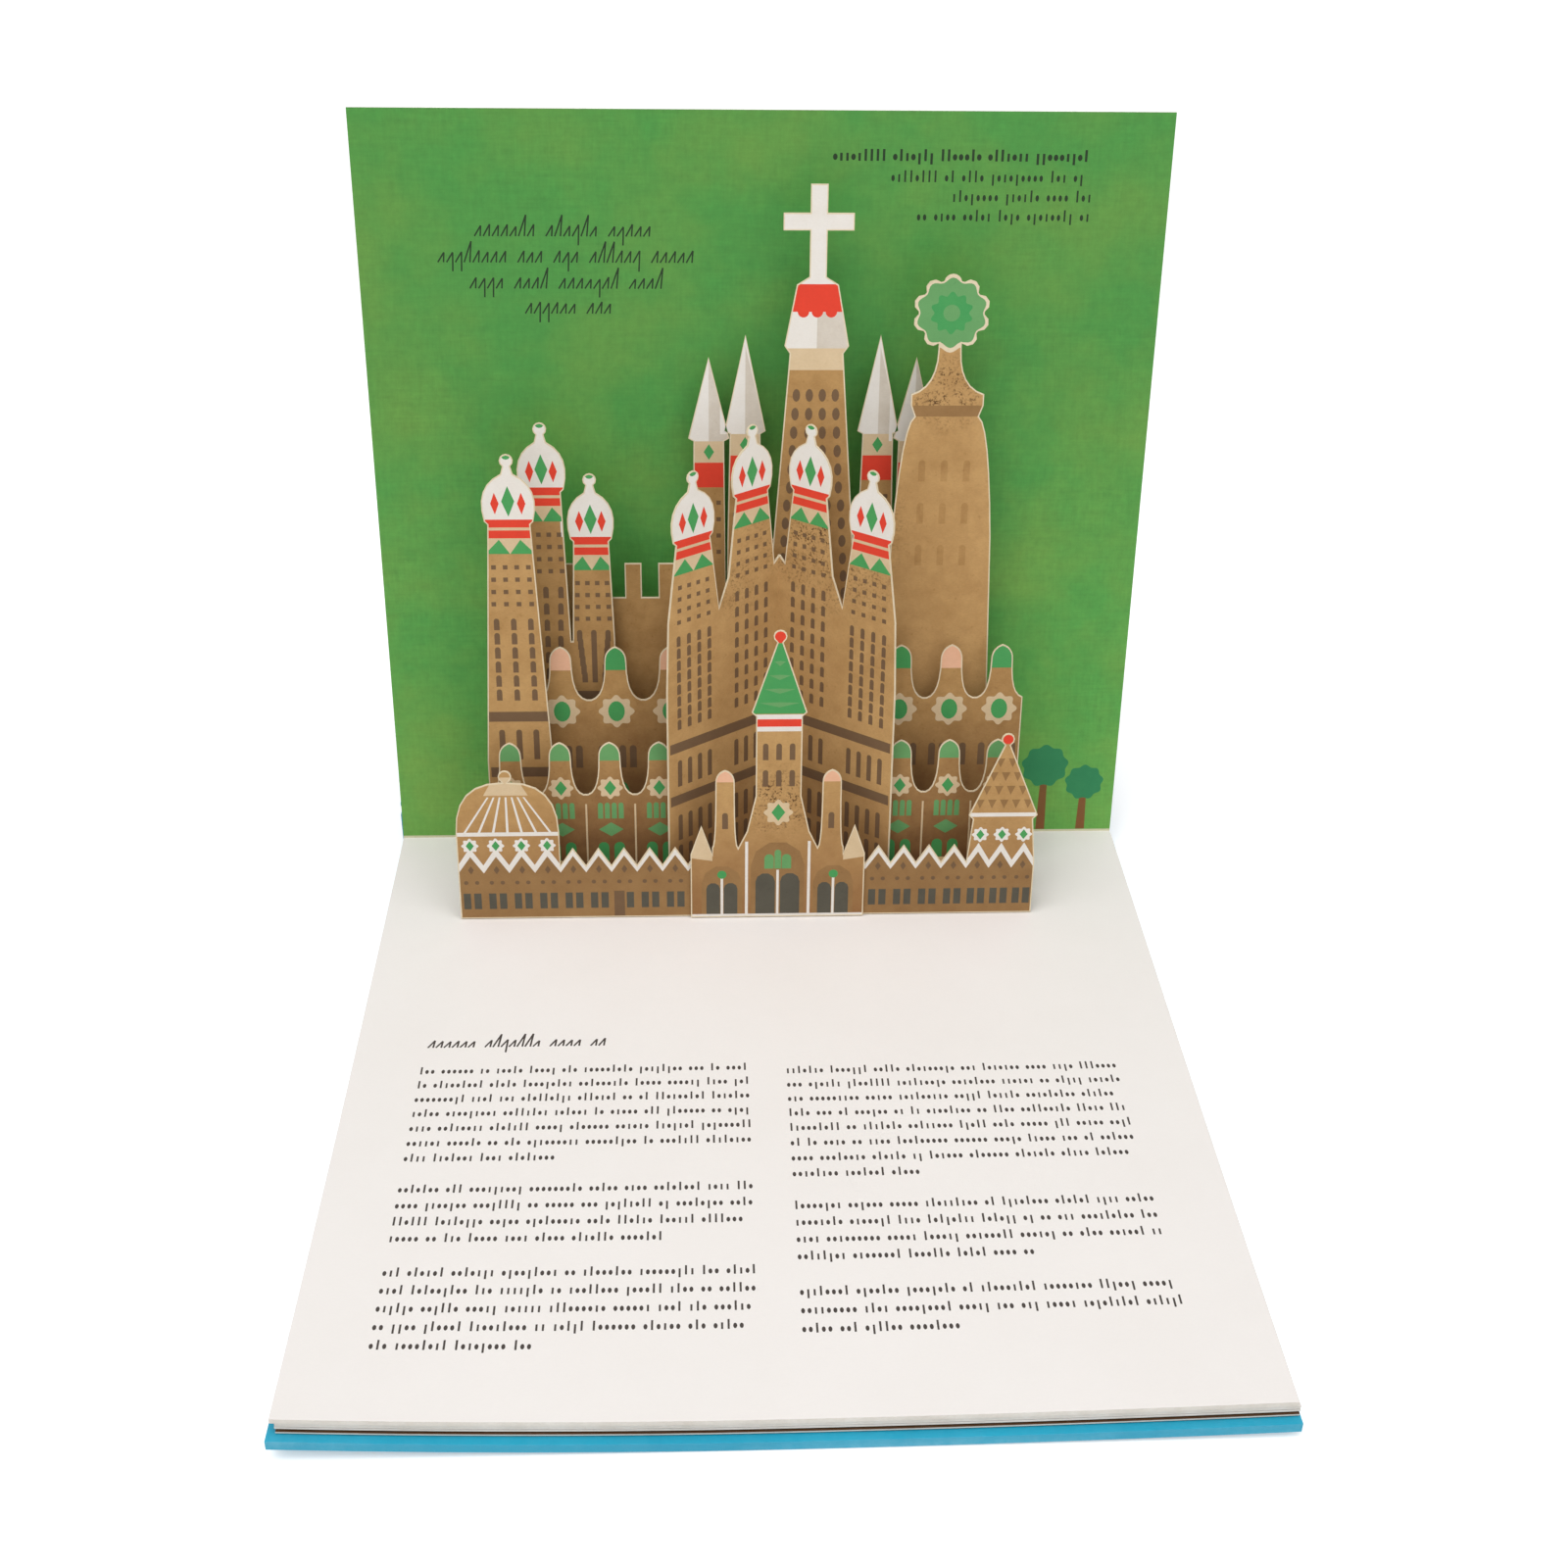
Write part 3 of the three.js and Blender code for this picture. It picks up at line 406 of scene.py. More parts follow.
INKS = {
    "core": ink("card_cut_edge", (226, 211, 182), (206, 184, 148), mottle=0.35, fibre=0.2),
    # kraft and light_kraft foot colours: darker low on each card, partly print and partly painted shade
    # where the cards meet the page
    "kraft": ink(
        "kraft_print", (184, 144, 90), (148, 108, 62), cloud=0.4, mottle=0.46, fibre=0.3,
        specks=0.4, foot=((114, 76, 44), 12, 62, 0.9),
    ),
    "light_kraft": ink(
        "light_kraft_print", (194, 154, 100), (160, 120, 70), cloud=0.34, mottle=0.42, fibre=0.28,
        specks=0.35, foot=((144, 103, 62), 6, 44, 0.8),
        scuffs=(((18, -14, 112), 26), ((-2, -22, 98), 14), ((4, -39, 44), 13), ((48, -4, 148), 13)),
    ),
    "house": ink("brown_house_print", (155, 119, 75), (130, 95, 56), cloud=0.4, mottle=0.35, fibre=0.2),
    "back": ink("kraft_card_back", (190, 160, 118), (160, 128, 88), cloud=0.3, mottle=0.4, fibre=0.25),
    "white": ink("white_print", (231, 226, 219), (218, 208, 194), mottle=0.25, fibre=0.1),
    "grey": ink("pale_grey_print", (214, 205, 192), (190, 176, 158), cloud=0.5, mottle=0.4, fibre=0.14),
    "green": ink("green_print", (66, 150, 84), (84, 160, 88), mottle=0.3, fibre=0.14),
    "leaf": ink("light_green_print", (106, 160, 100), (90, 146, 88), cloud=0.4, mottle=0.3, fibre=0.12),
    "red": ink("red_print", (226, 66, 44), (206, 58, 40), mottle=0.3, fibre=0.12),
    "peach": ink("peach_print", (232, 182, 150), (216, 160, 124), mottle=0.35, fibre=0.14),
    "cream": ink("cream_print", (216, 192, 156), (198, 170, 130), mottle=0.35, fibre=0.16),
    "window": ink("brown_window_print", (116, 90, 64), (98, 74, 52), mottle=0.3, fibre=0.14),
    "door": ink("dark_door_print", (88, 84, 72), (72, 68, 58), mottle=0.35, fibre=0.14),
    "tree": ink("dark_green_tree_print", (46, 128, 84), (60, 144, 92), cloud=0.4, mottle=0.3),
    "trunk": ink("red_brown_trunk_print", (134, 84, 48), (118, 92, 50), mottle=0.4),
    "text": ink("dark_text_ink", (66, 59, 56), (78, 71, 66), mottle=0.2, fibre=0.1, specks=0.1),
    "green_text": ink("dark_text_ink_on_green", (34, 50, 30), (44, 64, 38), mottle=0.2, fibre=0.1),
    "page": ink("white_page", (234, 229, 226), (229, 223, 219), cloud=0.3, mottle=0.1, fibre=0.035,
                specks=0.0),
    "edge": ink("leaf_edge", (232, 226, 218), (212, 202, 190), cloud=0.3, mottle=0.5, fibre=0.18),
    "brown_edge": ink("brown_printed_leaf", (110, 76, 48), (88, 60, 40), cloud=0.4, mottle=0.4),
    "fold": ink("pale_fold_line", (216, 213, 182), (196, 198, 150), mottle=0.3),
    "sheet": green_page(),
}
COVER = cover_wrap()


# Shapes to print, as lists of (x, height) points


def rect(left, low, right, high):
    return [(left, low), (right, low), (right, high), (left, high)]


def oval(x, z, across, up, count=18):
    turns = [2 * math.pi * i / count for i in range(count)]
    return [(x + across * math.cos(t), z + up * math.sin(t)) for t in turns]


def roundel(x, z, radius, count=18):
    return oval(x, z, radius, radius, count)


def lozenge(x, z, across, up):
    return [(x - across, z), (x, z - up), (x + across, z), (x, z + up)]


def lancet(x, low, half, high, steps=5):
    """A window with a round head."""
    head = [(x + half * math.cos(t), high - half + half * math.sin(t))
            for t in (math.pi * i / steps for i in range(steps + 1))]
    return [(x - half, low), (x + half, low), *head]


def flower(x, z, radius, petals, depth, steps=4):
    """A round form with lobes, petals of them."""
    count = petals * steps * 2
    points = []
    for i in range(count):
        turn = 2 * math.pi * i / count
        reach = radius * (1 - depth * (0.5 - 0.5 * math.cos(petals * turn)))
        points.append((x + reach * math.sin(turn), z + reach * math.cos(turn)))
    return points


def taper(x, low, half_low, high, half_high):
    """A field across a tapered tower."""
    return [(x - half_low, low), (x + half_low, low), (x + half_high, high), (x - half_high, high)]


def area(points):
    ring = zip(points, points[1:] + points[:1])
    return sum(a[0] * b[1] - b[0] * a[1] for a, b in ring) / 2


def ccw(points):
    points = [(p[0], p[1]) for p in points]
    return points if area(points) > 0 else points[::-1]


def simplified(points):
    """A ring without the points that lie on a straight run."""
    kept = []
    for i, here in enumerate(points):
        before = Vector(here) - Vector(points[i - 1])
        after = Vector(points[(i + 1) % len(points)]) - Vector(here)
        if before.length > FACE_SLACK and abs(before.cross(after)) > FACE_SLACK / 4:
            kept.append(here)
    return kept


def inset(points, width):
    """The same ring drawn in by a width."""
    points = ccw(points)
    made = []
    for i, here in enumerate(points):
        before = Vector(here) - Vector(points[i - 1])
        after = Vector(points[(i + 1) % len(points)]) - Vector(here)
        if before.length < 1e-6 or after.length < 1e-6:
            continue
        normals = [Vector((-d.y, d.x)).normalized() for d in (before, after)]
        middle = normals[0] + normals[1]
        if middle.length < 1e-3:
            middle = normals[0]
        middle.normalize()
        reach = width / max(0.45, middle.dot(normals[0]))
        made.append((here[0] + middle.x * reach, here[1] + middle.y * reach))
    return made


# Meshes


def placed(origin, along, up, through):
    """Card coordinates (along, up, through) in millimetres to the frame's metres."""
    turn = Matrix((along, up, through)).transposed().to_4x4()
    return Matrix.Scale(MM, 4) @ Matrix.Translation(origin) @ turn


def closed_rings(sides):
    """The rings that the outer sides of a face make, one for each way round."""
    onward = {}
    for a, b in sides:
        if (b, a) not in sides:
            onward.setdefault(a, []).append(b)
    rings = []
    while onward:
        here, ring = next(iter(onward)), []
        while here in onward:
            ring.append(here)
            following = onward[here].pop()
            if not onward[here]:
                del onward[here]
            here = following
            if here in ring:
                turn = ring.index(here)
                rings.append(ring[turn:])
                ring = ring[:turn]
    return rings


def outline_of(node, place, leftmost=-PAGE_WIDTH):
    """The ring of a card's front face right of leftmost, read from its solid, in card coordinates."""
    back_to_card = place.inverted()
    mesh = NODES[node].data
    spots = [back_to_card @ v.co for v in mesh.vertices]

    def key(p):
        return (round(max(p.x, leftmost), 2), round(p.y, 2))

    sides = set()
    for face in mesh.polygons:
        corners = [spots[i] for i in face.vertices]
        if all(abs(p.z) < FACE_SLACK and p.x > leftmost - CARD for p in corners):
            for a, b in zip(corners, corners[1:] + corners[:1]):
                if key(a) != key(b):
                    sides.add((key(a), key(b)))
    biggest = ccw(max(closed_rings(sides), key=lambda ring: abs(area(ring))))
    feet = [x for x, z in biggest if z < FOOT_BAND]
    last_foot = max((x, i) for i, (x, z) in enumerate(biggest) if z < FOOT_BAND)[1]
    skyline = [p for p in biggest[last_foot:] + biggest[:last_foot] if p[1] >= FOOT_BAND]
    return simplified([(min(feet), 0.0), (max(feet), 0.0), *skyline])


def painted(outline, shapes, points=()):
    """The triangles of a printed face, each with its ink. shapes are (ink, ring), later ones on top."""
    spots, rings, inks = [], [], []
    for name, ring in shapes:
        ring = ccw(ring)
        rings.append(list(range(len(spots), len(spots) + len(ring))))
        spots.extend(Vector(p) for p in ring)
        inks.append(name)
    spots.extend(Vector(p) for p in points)
    found = delaunay_2d_cdt(spots, [], rings, 1, 1e-4, True)
    corners, faces, owners = found[0], found[2], found[5]
    kept = []
    for face, own in zip(faces, owners):
        if 0 not in own:
            continue
        top = max(own)
        if len(outline) and 1 not in own:
            top = 0
        kept.append((tuple(face), inks[top]))
    return corners, kept


class Piece:
    """Gathers closed forms with their materials, and makes one object of them."""

    def __init__(self, name):
        self.name = name
        self.corners = []
        self.faces = []
        self.finishes = []
        self.materials = []

    def slot_of(self, material):
        if material not in self.materials:
            self.materials.append(material)
        return self.materials.index(material)

    def add(self, corners, faces, material):
        start = len(self.corners)
        self.corners.extend(corners)
        number = self.slot_of(material)
        for face in faces:
            self.faces.append(tuple(start + i for i in face))
            self.finishes.append(number)

    def sheet(self, corners, faces, place, thickness, back, side):
        """A printed face given its thickness, with a plain back and cut edges."""
        start, count = len(self.corners), len(corners)
        front = [place(p.x, p.y, 0) for p in corners]
        rear = [place(p.x, p.y, thickness) for p in corners]
        self.corners.extend(front + rear)
        a, b, c = place(0, 0, 0), place(1, 0, 0), place(0, 1, 0)
        turned = (b - a).cross(c - a).dot(a - place(0, 0, 1)) < 0
        edges = set()
        for face, name in faces:
            ring = face[::-1] if turned else face
            self.faces.append(tuple(start + i for i in ring))
            self.finishes.append(self.slot_of(INKS[name]))
            self.faces.append(tuple(start + count + i for i in ring[::-1]))
            self.finishes.append(self.slot_of(back))
            edges.update(zip(ring, ring[1:] + ring[:1]))
        for i, j in edges:
            if (j, i) not in edges:
                self.faces.append((start + j, start + i, start + count + i, start + count + j))
                self.finishes.append(self.slot_of(side))

    def box(self, low, high, material):
        corners = [
            Vector((x, y, z)) * MM for z in (low[2], high[2]) for y in (low[1], high[1])
            for x in (low[0], high[0])
        ]
        faces = [(0, 2, 3, 1), (4, 5, 7, 6), (0, 1, 5, 4), (2, 6, 7, 3), (0, 4, 6, 2), (1, 3, 7, 5)]
        self.add(corners, faces, material)

    def slab(self, low, high, cells, shift, top, under, side):
        """A lying slab whose places are shifted by a function, cut into cells."""
        across, deep = cells
        start = len(self.corners)
        for z in (low[2], high[2]):
            for j in range(deep + 1):
                for i in range(across + 1):
                    x = low[0] + (high[0] - low[0]) * i / across
                    y = low[1] + (high[1] - low[1]) * j / deep
                    self.corners.append(Vector((x, y, z + shift(x, y))) * MM)
        layer = (across + 1) * (deep + 1)
        def at(i, j, level):
            return start + level * layer + j * (across + 1) + i
        def face(material, *ring):
            self.faces.append(ring)
            self.finishes.append(self.slot_of(material))
        for j in range(deep):
            for i in range(across):
                face(top, at(i, j, 1), at(i + 1, j, 1), at(i + 1, j + 1, 1), at(i, j + 1, 1))
                face(under, at(i, j + 1, 0), at(i + 1, j + 1, 0), at(i + 1, j, 0), at(i, j, 0))
        for i in range(across):
            face(side, at(i, 0, 0), at(i + 1, 0, 0), at(i + 1, 0, 1), at(i, 0, 1))
            face(side, at(i + 1, deep, 0), at(i, deep, 0), at(i, deep, 1), at(i + 1, deep, 1))
        for j in range(deep):
            face(side, at(0, j + 1, 0), at(0, j, 0), at(0, j, 1), at(0, j + 1, 1))
            face(side, at(across, j, 0), at(across, j + 1, 0), at(across, j + 1, 1), at(across, j, 1))

    def make(self, body, slot, *nodes):
        mesh = bpy.data.meshes.new(self.name)
        mesh.from_pydata([tuple(p) for p in self.corners], [], self.faces)
        for material in self.materials:
            mesh.materials.append(material)
        mesh.polygons.foreach_set("material_index", self.finishes)
        mesh.validate()
        mesh.update()
        made = bpy.data.objects.new(self.name, mesh)
        bpy.context.scene.collection.objects.link(made)
        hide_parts(*nodes)
        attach(made, body)
        return made


# The pop-up cards

BORDER = 0.32


def standing(name):
    """The place of a card that stands parallel to the standing page."""
    return placed(Vector((0, -DEPTHS[name], CARD_FOOT)), ALONG, UP, BACK)


def into(place):
    return lambda u, v, w: place @ Vector((u, v, w))


def card_face(piece, outline, ground, shapes, place, crease=None):
    """A printed card face with a pale margin along its cut edges, but none along a crease."""
    field = inset(outline, BORDER)
    if crease is not None:
        field = [(crease if u < crease + 2 * BORDER else u, v) for u, v in field]
    corners, faces = painted(outline, [("core", outline), (ground, field), *shapes])
    piece.sheet(corners, faces, into(place), CARD, INKS["back"], INKS["core"])


def card(name, ground, shapes):
    """A flat card with its print, foot tab and straps."""
    piece = Piece(name + "_card")
    place = standing(name)
    depth = DEPTHS[name]
    outline = outline_of(name, place)
    card_face(piece, outline, ground, shapes, place)
    if name not in NO_TAB:
        feet = [x for x, z in outline if z == 0]
        low = (min(feet) + TAB_INSET, -depth + CARD, CARD_FOOT)
        high = (max(feet) - TAB_INSET, -depth + TAB_LENGTH, CARD_FOOT + CARD)
        piece.box(low, high, INKS["back"])
    for x, height, behind in STRAPS.get(name, []):
        z = CARD_FOOT + height * UP.z
        shift = height * UP.y
        low = (x, -depth + shift + CARD / 2, z)
        high = (x + STRAP_WIDTH, -behind + shift - STRAP_GAP, z + CARD)
        piece.box(low, high, INKS["back"])
    return piece.make(LYING, "kraft_card", name)


def window_grid(x, low, high, half_low, half_high, columns, rows, form):
    """Windows in columns that follow a tower's taper."""
    shapes = []
    for row in range(rows):
        share = (row + 0.5) / rows
        z = low + (high - low) * share
        half = half_low + (half_high - half_low) * share
        for column in range(columns):
            offset = (column + 0.5) / columns * 2 - 1
            shapes.append(("window", form(x + offset * half, z)))
    return shapes


def tower_top(x, neck, half, tip):
    """The printed onion roof of a tower with the bands under it."""
    roof = neck + (tip - neck) * 0.66
    return [
        ("cream", taper(x, neck - 9, half + 1.2, neck - 4.6, half + 1)),
        ("green", [(x - half - 1, neck - 9), (x, neck - 9), (x - half / 2, neck - 5)]),
        ("green", [(x, neck - 9), (x + half + 1, neck - 9), (x + half / 2, neck - 5)]),
        ("red", rect(x - half - 2, neck - 4.6, x + half + 2, neck + 0.6)),
        ("white", rect(x - half - 3.2, neck + 0.6, x + half + 3.2, tip + 3)),
        ("green", lozenge(x, neck + 5.6, 1.7, 4.2)),
        ("red", lozenge(x - half * 0.62, neck + 5, 1.1, 3)),
        ("red", lozenge(x + half * 0.62, neck + 5, 1.1, 3)),
        ("green", roundel(x, roof + 4.4, 1.3, 12)),
        ("cream", rect(x - half, neck - 2.4, x + half, neck - 1.6)),
    ]


def framed_gem(x, z, size, frame_ink="cream", gem_ink="green"):
    """A green lozenge in a scalloped pale frame."""
    return [
        (frame_ink, flower(x, z, size * 1.75, 8, 0.22)),
        (gem_ink, lozenge(x, z, size * 0.82, size * 1.15)),
    ]


def terrace_shapes():
    shapes = [("house", rect(-84, 0, 75, 16.5))]
    rows = [(-56, 56, 16), (-84, -56, 4), (56, 75, 3)]
    for left, right, count in rows:
        half = (right - left) / count / 2
        for i in range(count):
            x = left + (2 * i + 1) * half
            roof = [(x - half, 16.9), (x, 22.4), (x + half, 16.9)]
            roof += [(x + half, 14.4), (x, 19.6), (x - half, 14.4)]
            shapes.append(("house", [(x - half, 14.4), (x, 19.6), (x + half, 14.4), (x, 12)]))
            shapes.append(("white", roof))
            shapes.append(("window", lozenge(x, 15.4, 0.8, 1.3)))
            for side in (-1, 1):
                shapes.append(("window", roundel(x + side * 1.5, 11.4, 0.62, 10)))
                shapes.append(("door", rect(x + side * 1.45 - 1, 3, x + side * 1.45 + 1, 8)))
    shapes.append(("window", rect(-41.5, 0.4, -38.6, 8.4)))
    return shapes


def hall_shapes():
    """The dome of the hall at the left end, ribbed in white."""
    centre, top = -70, 41
    shapes = []
    for i in range(-3, 4):
        foot, head = centre + i * 4.1, centre + i * 1.6
        rib = [(foot - 0.35, 26), (foot + 0.35, 26), (head + 0.25, top - 3), (head - 0.25, top - 3)]
        shapes.append(("white", rib))
    shapes.append(("white", rect(-86, 26, -54, 27.2)))
    shapes.append(("cream", [(-76, 38.5), (-64, 38.5), (-67, 44), (-73, 44)]))
    for i in range(4):
        shapes += framed_gem(-80.4 + i * 7, 23, 1.35, "white")
    return shapes


def turret_shapes():
    """The round turret at the right end with its scaled roof."""
    x = 65.5
    shapes = [("white", rect(x - 12, 30.6, x + 12, 31.8))]
    for row in range(4):
        z = 34.5 + row * 4.2
        half = 8.2 - row * 1.9
        count = 5 - row
        for i in range(count):
            u = x + (i - (count - 1) / 2) * 3.3
            if abs(u - x) < half:
                shapes.append(("house", [(u - 1.2, z + 1.4), (u, z - 1.4), (u + 1.2, z + 1.4)]))
    shapes.append(("red", roundel(x, 54.2, 1.4, 12)))
    for i in range(3):
        shapes += framed_gem(x + (i - 1) * 6, 25, 1.35, "white")
    return shapes


def gate_shapes():
    x = 3.7
    shapes = [("cream", [(x - 24, 19), (x - 21, 29), (x - 18, 21), (x - 18, 18)]),
              ("cream", [(x + 24, 19), (x + 21, 29), (x + 18, 21), (x + 18, 18)])]
    for side in (-1, 1):
        c = x + side * 15.4
        shapes += [
            ("house", lancet(c, 0, 5.6, 16.5)),
            ("door", lancet(c - 2.4, 0.8, 1.9, 11)),
            ("door", lancet(c + 2.4, 0.8, 1.9, 11)),
            ("white", rect(c - 0.35, 0.8, c + 0.35, 13)),
            ("green", roundel(c, 13.6, 1.3, 12)),
            ("peach", rect(x + side * 14.5 - 4, 42.4, x + side * 14.5 + 4, 48)),
            ("window", lancet(x + side * 14.5, 28, 0.8, 33)),
        ]
        shapes.append(("white", rect(x + side * 8.6 - 0.4, 0.6, x + side * 8.6 + 0.4, 24)))
    shapes += [
        ("house", lancet(x, 0, 7.4, 24)),
        ("door", lancet(x - 3.4, 0.8, 2.7, 14)),
        ("door", lancet(x + 3.4, 0.8, 2.7, 14)),
        ("leaf", lancet(x - 2.4, 15.4, 1.3, 20)),
        ("leaf", lancet(x, 15.4, 0.9, 21.4)),
        ("leaf", lancet(x + 2.4, 15.4, 1.3, 20)),
        ("white", rect(x - 24.5, 0, x + 24.5, 1)),
        ("white", rect(x - 0.35, 0.8, x + 0.35, 15)),
    ]
    shapes += framed_gem(x, 33, 2.3)
    for row in range(2):
        for side in (-1, 0, 1):
            shapes.append(("window", lancet(x + side * 3.6, 41 + row * 8, 0.75, 46 + row * 8)))
    shapes += [
        ("white", rect(x - 9, 57.6, x + 9, 62.6)),
        ("red", rect(x - 9, 59, x + 9, 61.2)),
        ("green", [(x - 8.4, 62.8), (x + 8.4, 62.8), (x + 0.4, 83.6), (x - 0.4, 83.6)]),
        ("red", roundel(x, 85, 1.7, 14)),
    ]
    for row in range(4):
        z = 66 + row * 4
        half = 5.4 - row * 1.3
        shapes.append(("leaf", [(x - half, z), (x, z - 1.3), (x + half, z), (x, z + 0.2)]))
    return shapes


def square(size):
    return lambda x, z: rect(x - size, z - size, x + size, z + size)


def slit(half, reach):
    return lambda x, z: lancet(x, z - reach, half, z + reach)


def wing_shapes():
    """The print of one wing of the facade, measured from its crease."""
    inner, outer = WING_LENGTH * 0.25, WING_LENGTH * 0.76
    shapes = []
    for z in (47.5, 31.5):
        shapes.append(("window", rect(0.8, z, WING_LENGTH - 0.8, z + 3)))
    for x, neck, tip, half in ((inner, 116, 137, 5.2), (outer, 108, 129, 5.4)):
        shapes += tower_top(x, neck, half, tip)
        shapes += window_grid(x, neck - 24, neck - 11, half + 1, half + 0.3, 4, 4, square(0.6))
        shapes += window_grid(x, 54, neck - 26, 6.6, half + 1.2, 4, 8, slit(0.62, 1.5))
        shapes += window_grid(x, 36.5, 45.5, 6.6, 6.6, 4, 1, slit(0.7, 4))
        shapes += window_grid(x, 10, 29, 6.6, 6.6, 4, 2, slit(0.7, 4))
    return shapes


def facade():
    """The front: one card creased in the middle, its wings coming forward."""
    piece = Piece("front_facade_card")
    for side in (-1, 1):
        along = Vector((side * WING_SPREAD, CREASE_DEPTH - WING_DEPTH, 0)).normalized()
        through = along.cross(UP).normalized()
        if through.y < 0:
            through.negate()
        place = placed(Vector((CREASE_X, -CREASE_DEPTH, CARD_FOOT)), along, UP, through)
        outline = outline_of("front_facade", place, 0)
        card_face(piece, outline, "light_kraft", wing_shapes(), place, 0)
        flat = Vector((-side * along.y, side * along.x, 0))
        foot = placed(Vector((CREASE_X, -CREASE_DEPTH, CARD_FOOT)), along, flat, Vector((0, 0, 1)))
        start = WING_LENGTH * 0.1
        ring = rect(start, 0.2, start + WING_LENGTH * 0.55, TAB_LENGTH)
        corners, faces = painted([], [("back", ring)])
        piece.sheet(corners, faces, into(foot), CARD, INKS["back"], INKS["core"])
    return piece.make(LYING, "kraft_card", "front_facade")


def low_gable_shapes(left, right, count):
    half = (right - left) / count / 2
    shapes = []
    for i in range(count):
        x = left + (2 * i + 1) * half
        shapes.append(("leaf", rect(x - half, 43.4, x + half, 51)))
        shapes.append(("leaf", lozenge(x, 22, 3.4, 2.2)))
        shapes += framed_gem(x, 35, 2)
        for step in (-1.5, -0.5, 0.5, 1.5):
            shapes.append(("leaf", lancet(x + step * 1.9, 25.4, 0.7, 30.4)))
        for step in (-1, 1):
            shapes.append(("green", lancet(x + step * 2.2, 8, 1.5, 18)))
        if i:
            shapes.append(("cream", rect(x - half - 0.25, 4, x - half + 0.25, 30)))
    return shapes


def high_gable_shapes(left, right, count, caps):
    half = (right - left) / count / 2
    shapes = []
    for i in range(count):
        x = left + (2 * i + 1) * half
        shapes.append((caps[i % len(caps)], rect(x - half, 64, x + half, 72)))
        shapes.append(("cream", flower(x, 51.5, 5, 8, 0.2)))
        shapes.append(("green", oval(x, 51.5, 2.3, 3.1)))
        for step in (-1.5, -0.5, 0.5, 1.5):
            shapes.append(("window", lancet(x + step * 2.9, 34, 0.95, 41)))
        shapes.append(("green", lancet(x, 14, 3, 30)))
        for side in (-1, 1):
            shapes.append(("window", lancet(x + side * 5.2, 14, 0.8, 24)))
    return shapes


def tower_shapes(x, neck, half, tip, foot_half):
    shapes = tower_top(x, neck, half, tip)
    shapes += window_grid(x, neck - 25, neck - 11, half + 1.2, half + 0.4, 4, 4, square(0.62))
    shapes += window_grid(x, 58, neck - 27, foot_half - 1.8, half + 1.2, 3, 6, slit(0.75, 1.7))
    for z in (52, 35):
        shapes.append(("window", rect(x - foot_half + 0.8, z, x + foot_half - 0.8, z + 3)))
    shapes += window_grid(x, 39, 51, foot_half - 2, foot_half - 2, 3, 1, slit(0.8, 4.6))
    return shapes


def tall_tower_shapes():
    x = 13.5
    shapes = []
    for row in range(19):
        z = 47 + row * 5.1
        half = 14.2 - (z - 47) / 103 * 7.6
        count = 6 if row < 7 else 5 if row < 13 else 4
        for i in range(count):
            u = x + ((i + 0.5) / count * 2 - 1) * (half - 0.6)
            shapes.append(("window", oval(u, z, 1.0, 1.75, 12)))
    shapes += [
        ("cream", rect(x - 8, 145.6, x + 8, 151.4)),
        ("white", rect(x - 12, 151.4, x + 12, 161)),
        ("grey", [(x, 151.4), (x + 12, 151.4), (x + 12, 161), (x, 161)]),
        ("red", rect(x - 12, 161, x + 12, 168.2)),
        ("white", rect(x - 12, 168.2, x + 12, 196)),
    ]
    for i in (-1, 0, 1):
        shapes.append(("red", roundel(x + i * 3.6, 161, 1.5, 14)))
    return shapes


def spirelet_shapes():
    shapes = []
    for x, neck, half in ((-14.6, 124, 4.7), (-4.9, 126, 4.7), (30.7, 126, 4.7), (40.4, 124, 4.7)):
        shapes += [
            ("red", rect(x - half, neck - 13, x + half, neck - 6)),
            ("cream", rect(x - half, neck - 6, x + half, neck)),
            ("green", lozenge(x, neck - 3, 1.4, 2.2)),
            ("white", rect(x - half - 2, neck, x + half + 2, neck + 30)),
            ("grey", [(x, neck), (x + half + 1, neck), (x, neck + 24)]),
        ]
        shapes += window_grid(x, 90, neck - 15, half - 0.8, half - 0.8, 3, 4, square(0.6))
    return shapes


def right_tower_shapes():
    x = 48
    shapes = [
        ("house", rect(x - 9, 134, x + 9, 137)),
        ("core", flower(x, 161.6, 10.4, 10, 0.1)),
        ("leaf", flower(x, 161.6, 9.2, 10, 0.12)),
        ("green", flower(x, 161.6, 5.6, 10, 0.2)),
        ("leaf", roundel(x, 161.6, 2.2)),
    ]
    for row in range(3):
        for i in (-1, 0, 1):
            shapes.append(("kraft", lancet(x + i * 6, 92 + row * 12, 0.9, 98 + row * 12)))
    return shapes


def make_town():
    card("front_terrace", "light_kraft", terrace_shapes() + hall_shapes() + turret_shapes())
    card("gatehouse", "light_kraft", gate_shapes())
    facade()
    card("left_low_gables", "kraft", low_gable_shapes(-76, -22, 4))
    card("right_low_gables", "kraft", low_gable_shapes(31, 71, 3))
    card("left_high_gables", "kraft", high_gable_shapes(-63, -18, 3, ("peach", "green")))
    card("right_high_gables", "kraft", high_gable_shapes(31, 73, 3, ("green", "peach")))
    card("left_front_tower", "light_kraft", tower_shapes(-67, 110, 5.6, 131, 9))
    rear = tower_shapes(-46.4, 100, 4.8, 121, 5.8) + tower_shapes(-59, 114, 5, 135, 6.4)
    card("left_rear_towers", "kraft", rear)
    card("battlement_wall", "kraft", [])
    card("tall_tower", "kraft", tall_tower_shapes())
    card("spirelets", "kraft", spirelet_shapes())
    card("right_tower", "light_kraft", right_tower_shapes())


# Text is set as rows of plain dots and strokes, with no letters in it


def letter_places(rng, left, right, pitch, lengths, space):
    """Where the marks of a row stand, in word groups between two ends."""
    x = left
    while x < right - pitch * 2:
        for _ in range(min(rng.choice(lengths), int((right - x) / pitch))):
            yield x
            x += pitch
        x += pitch * space


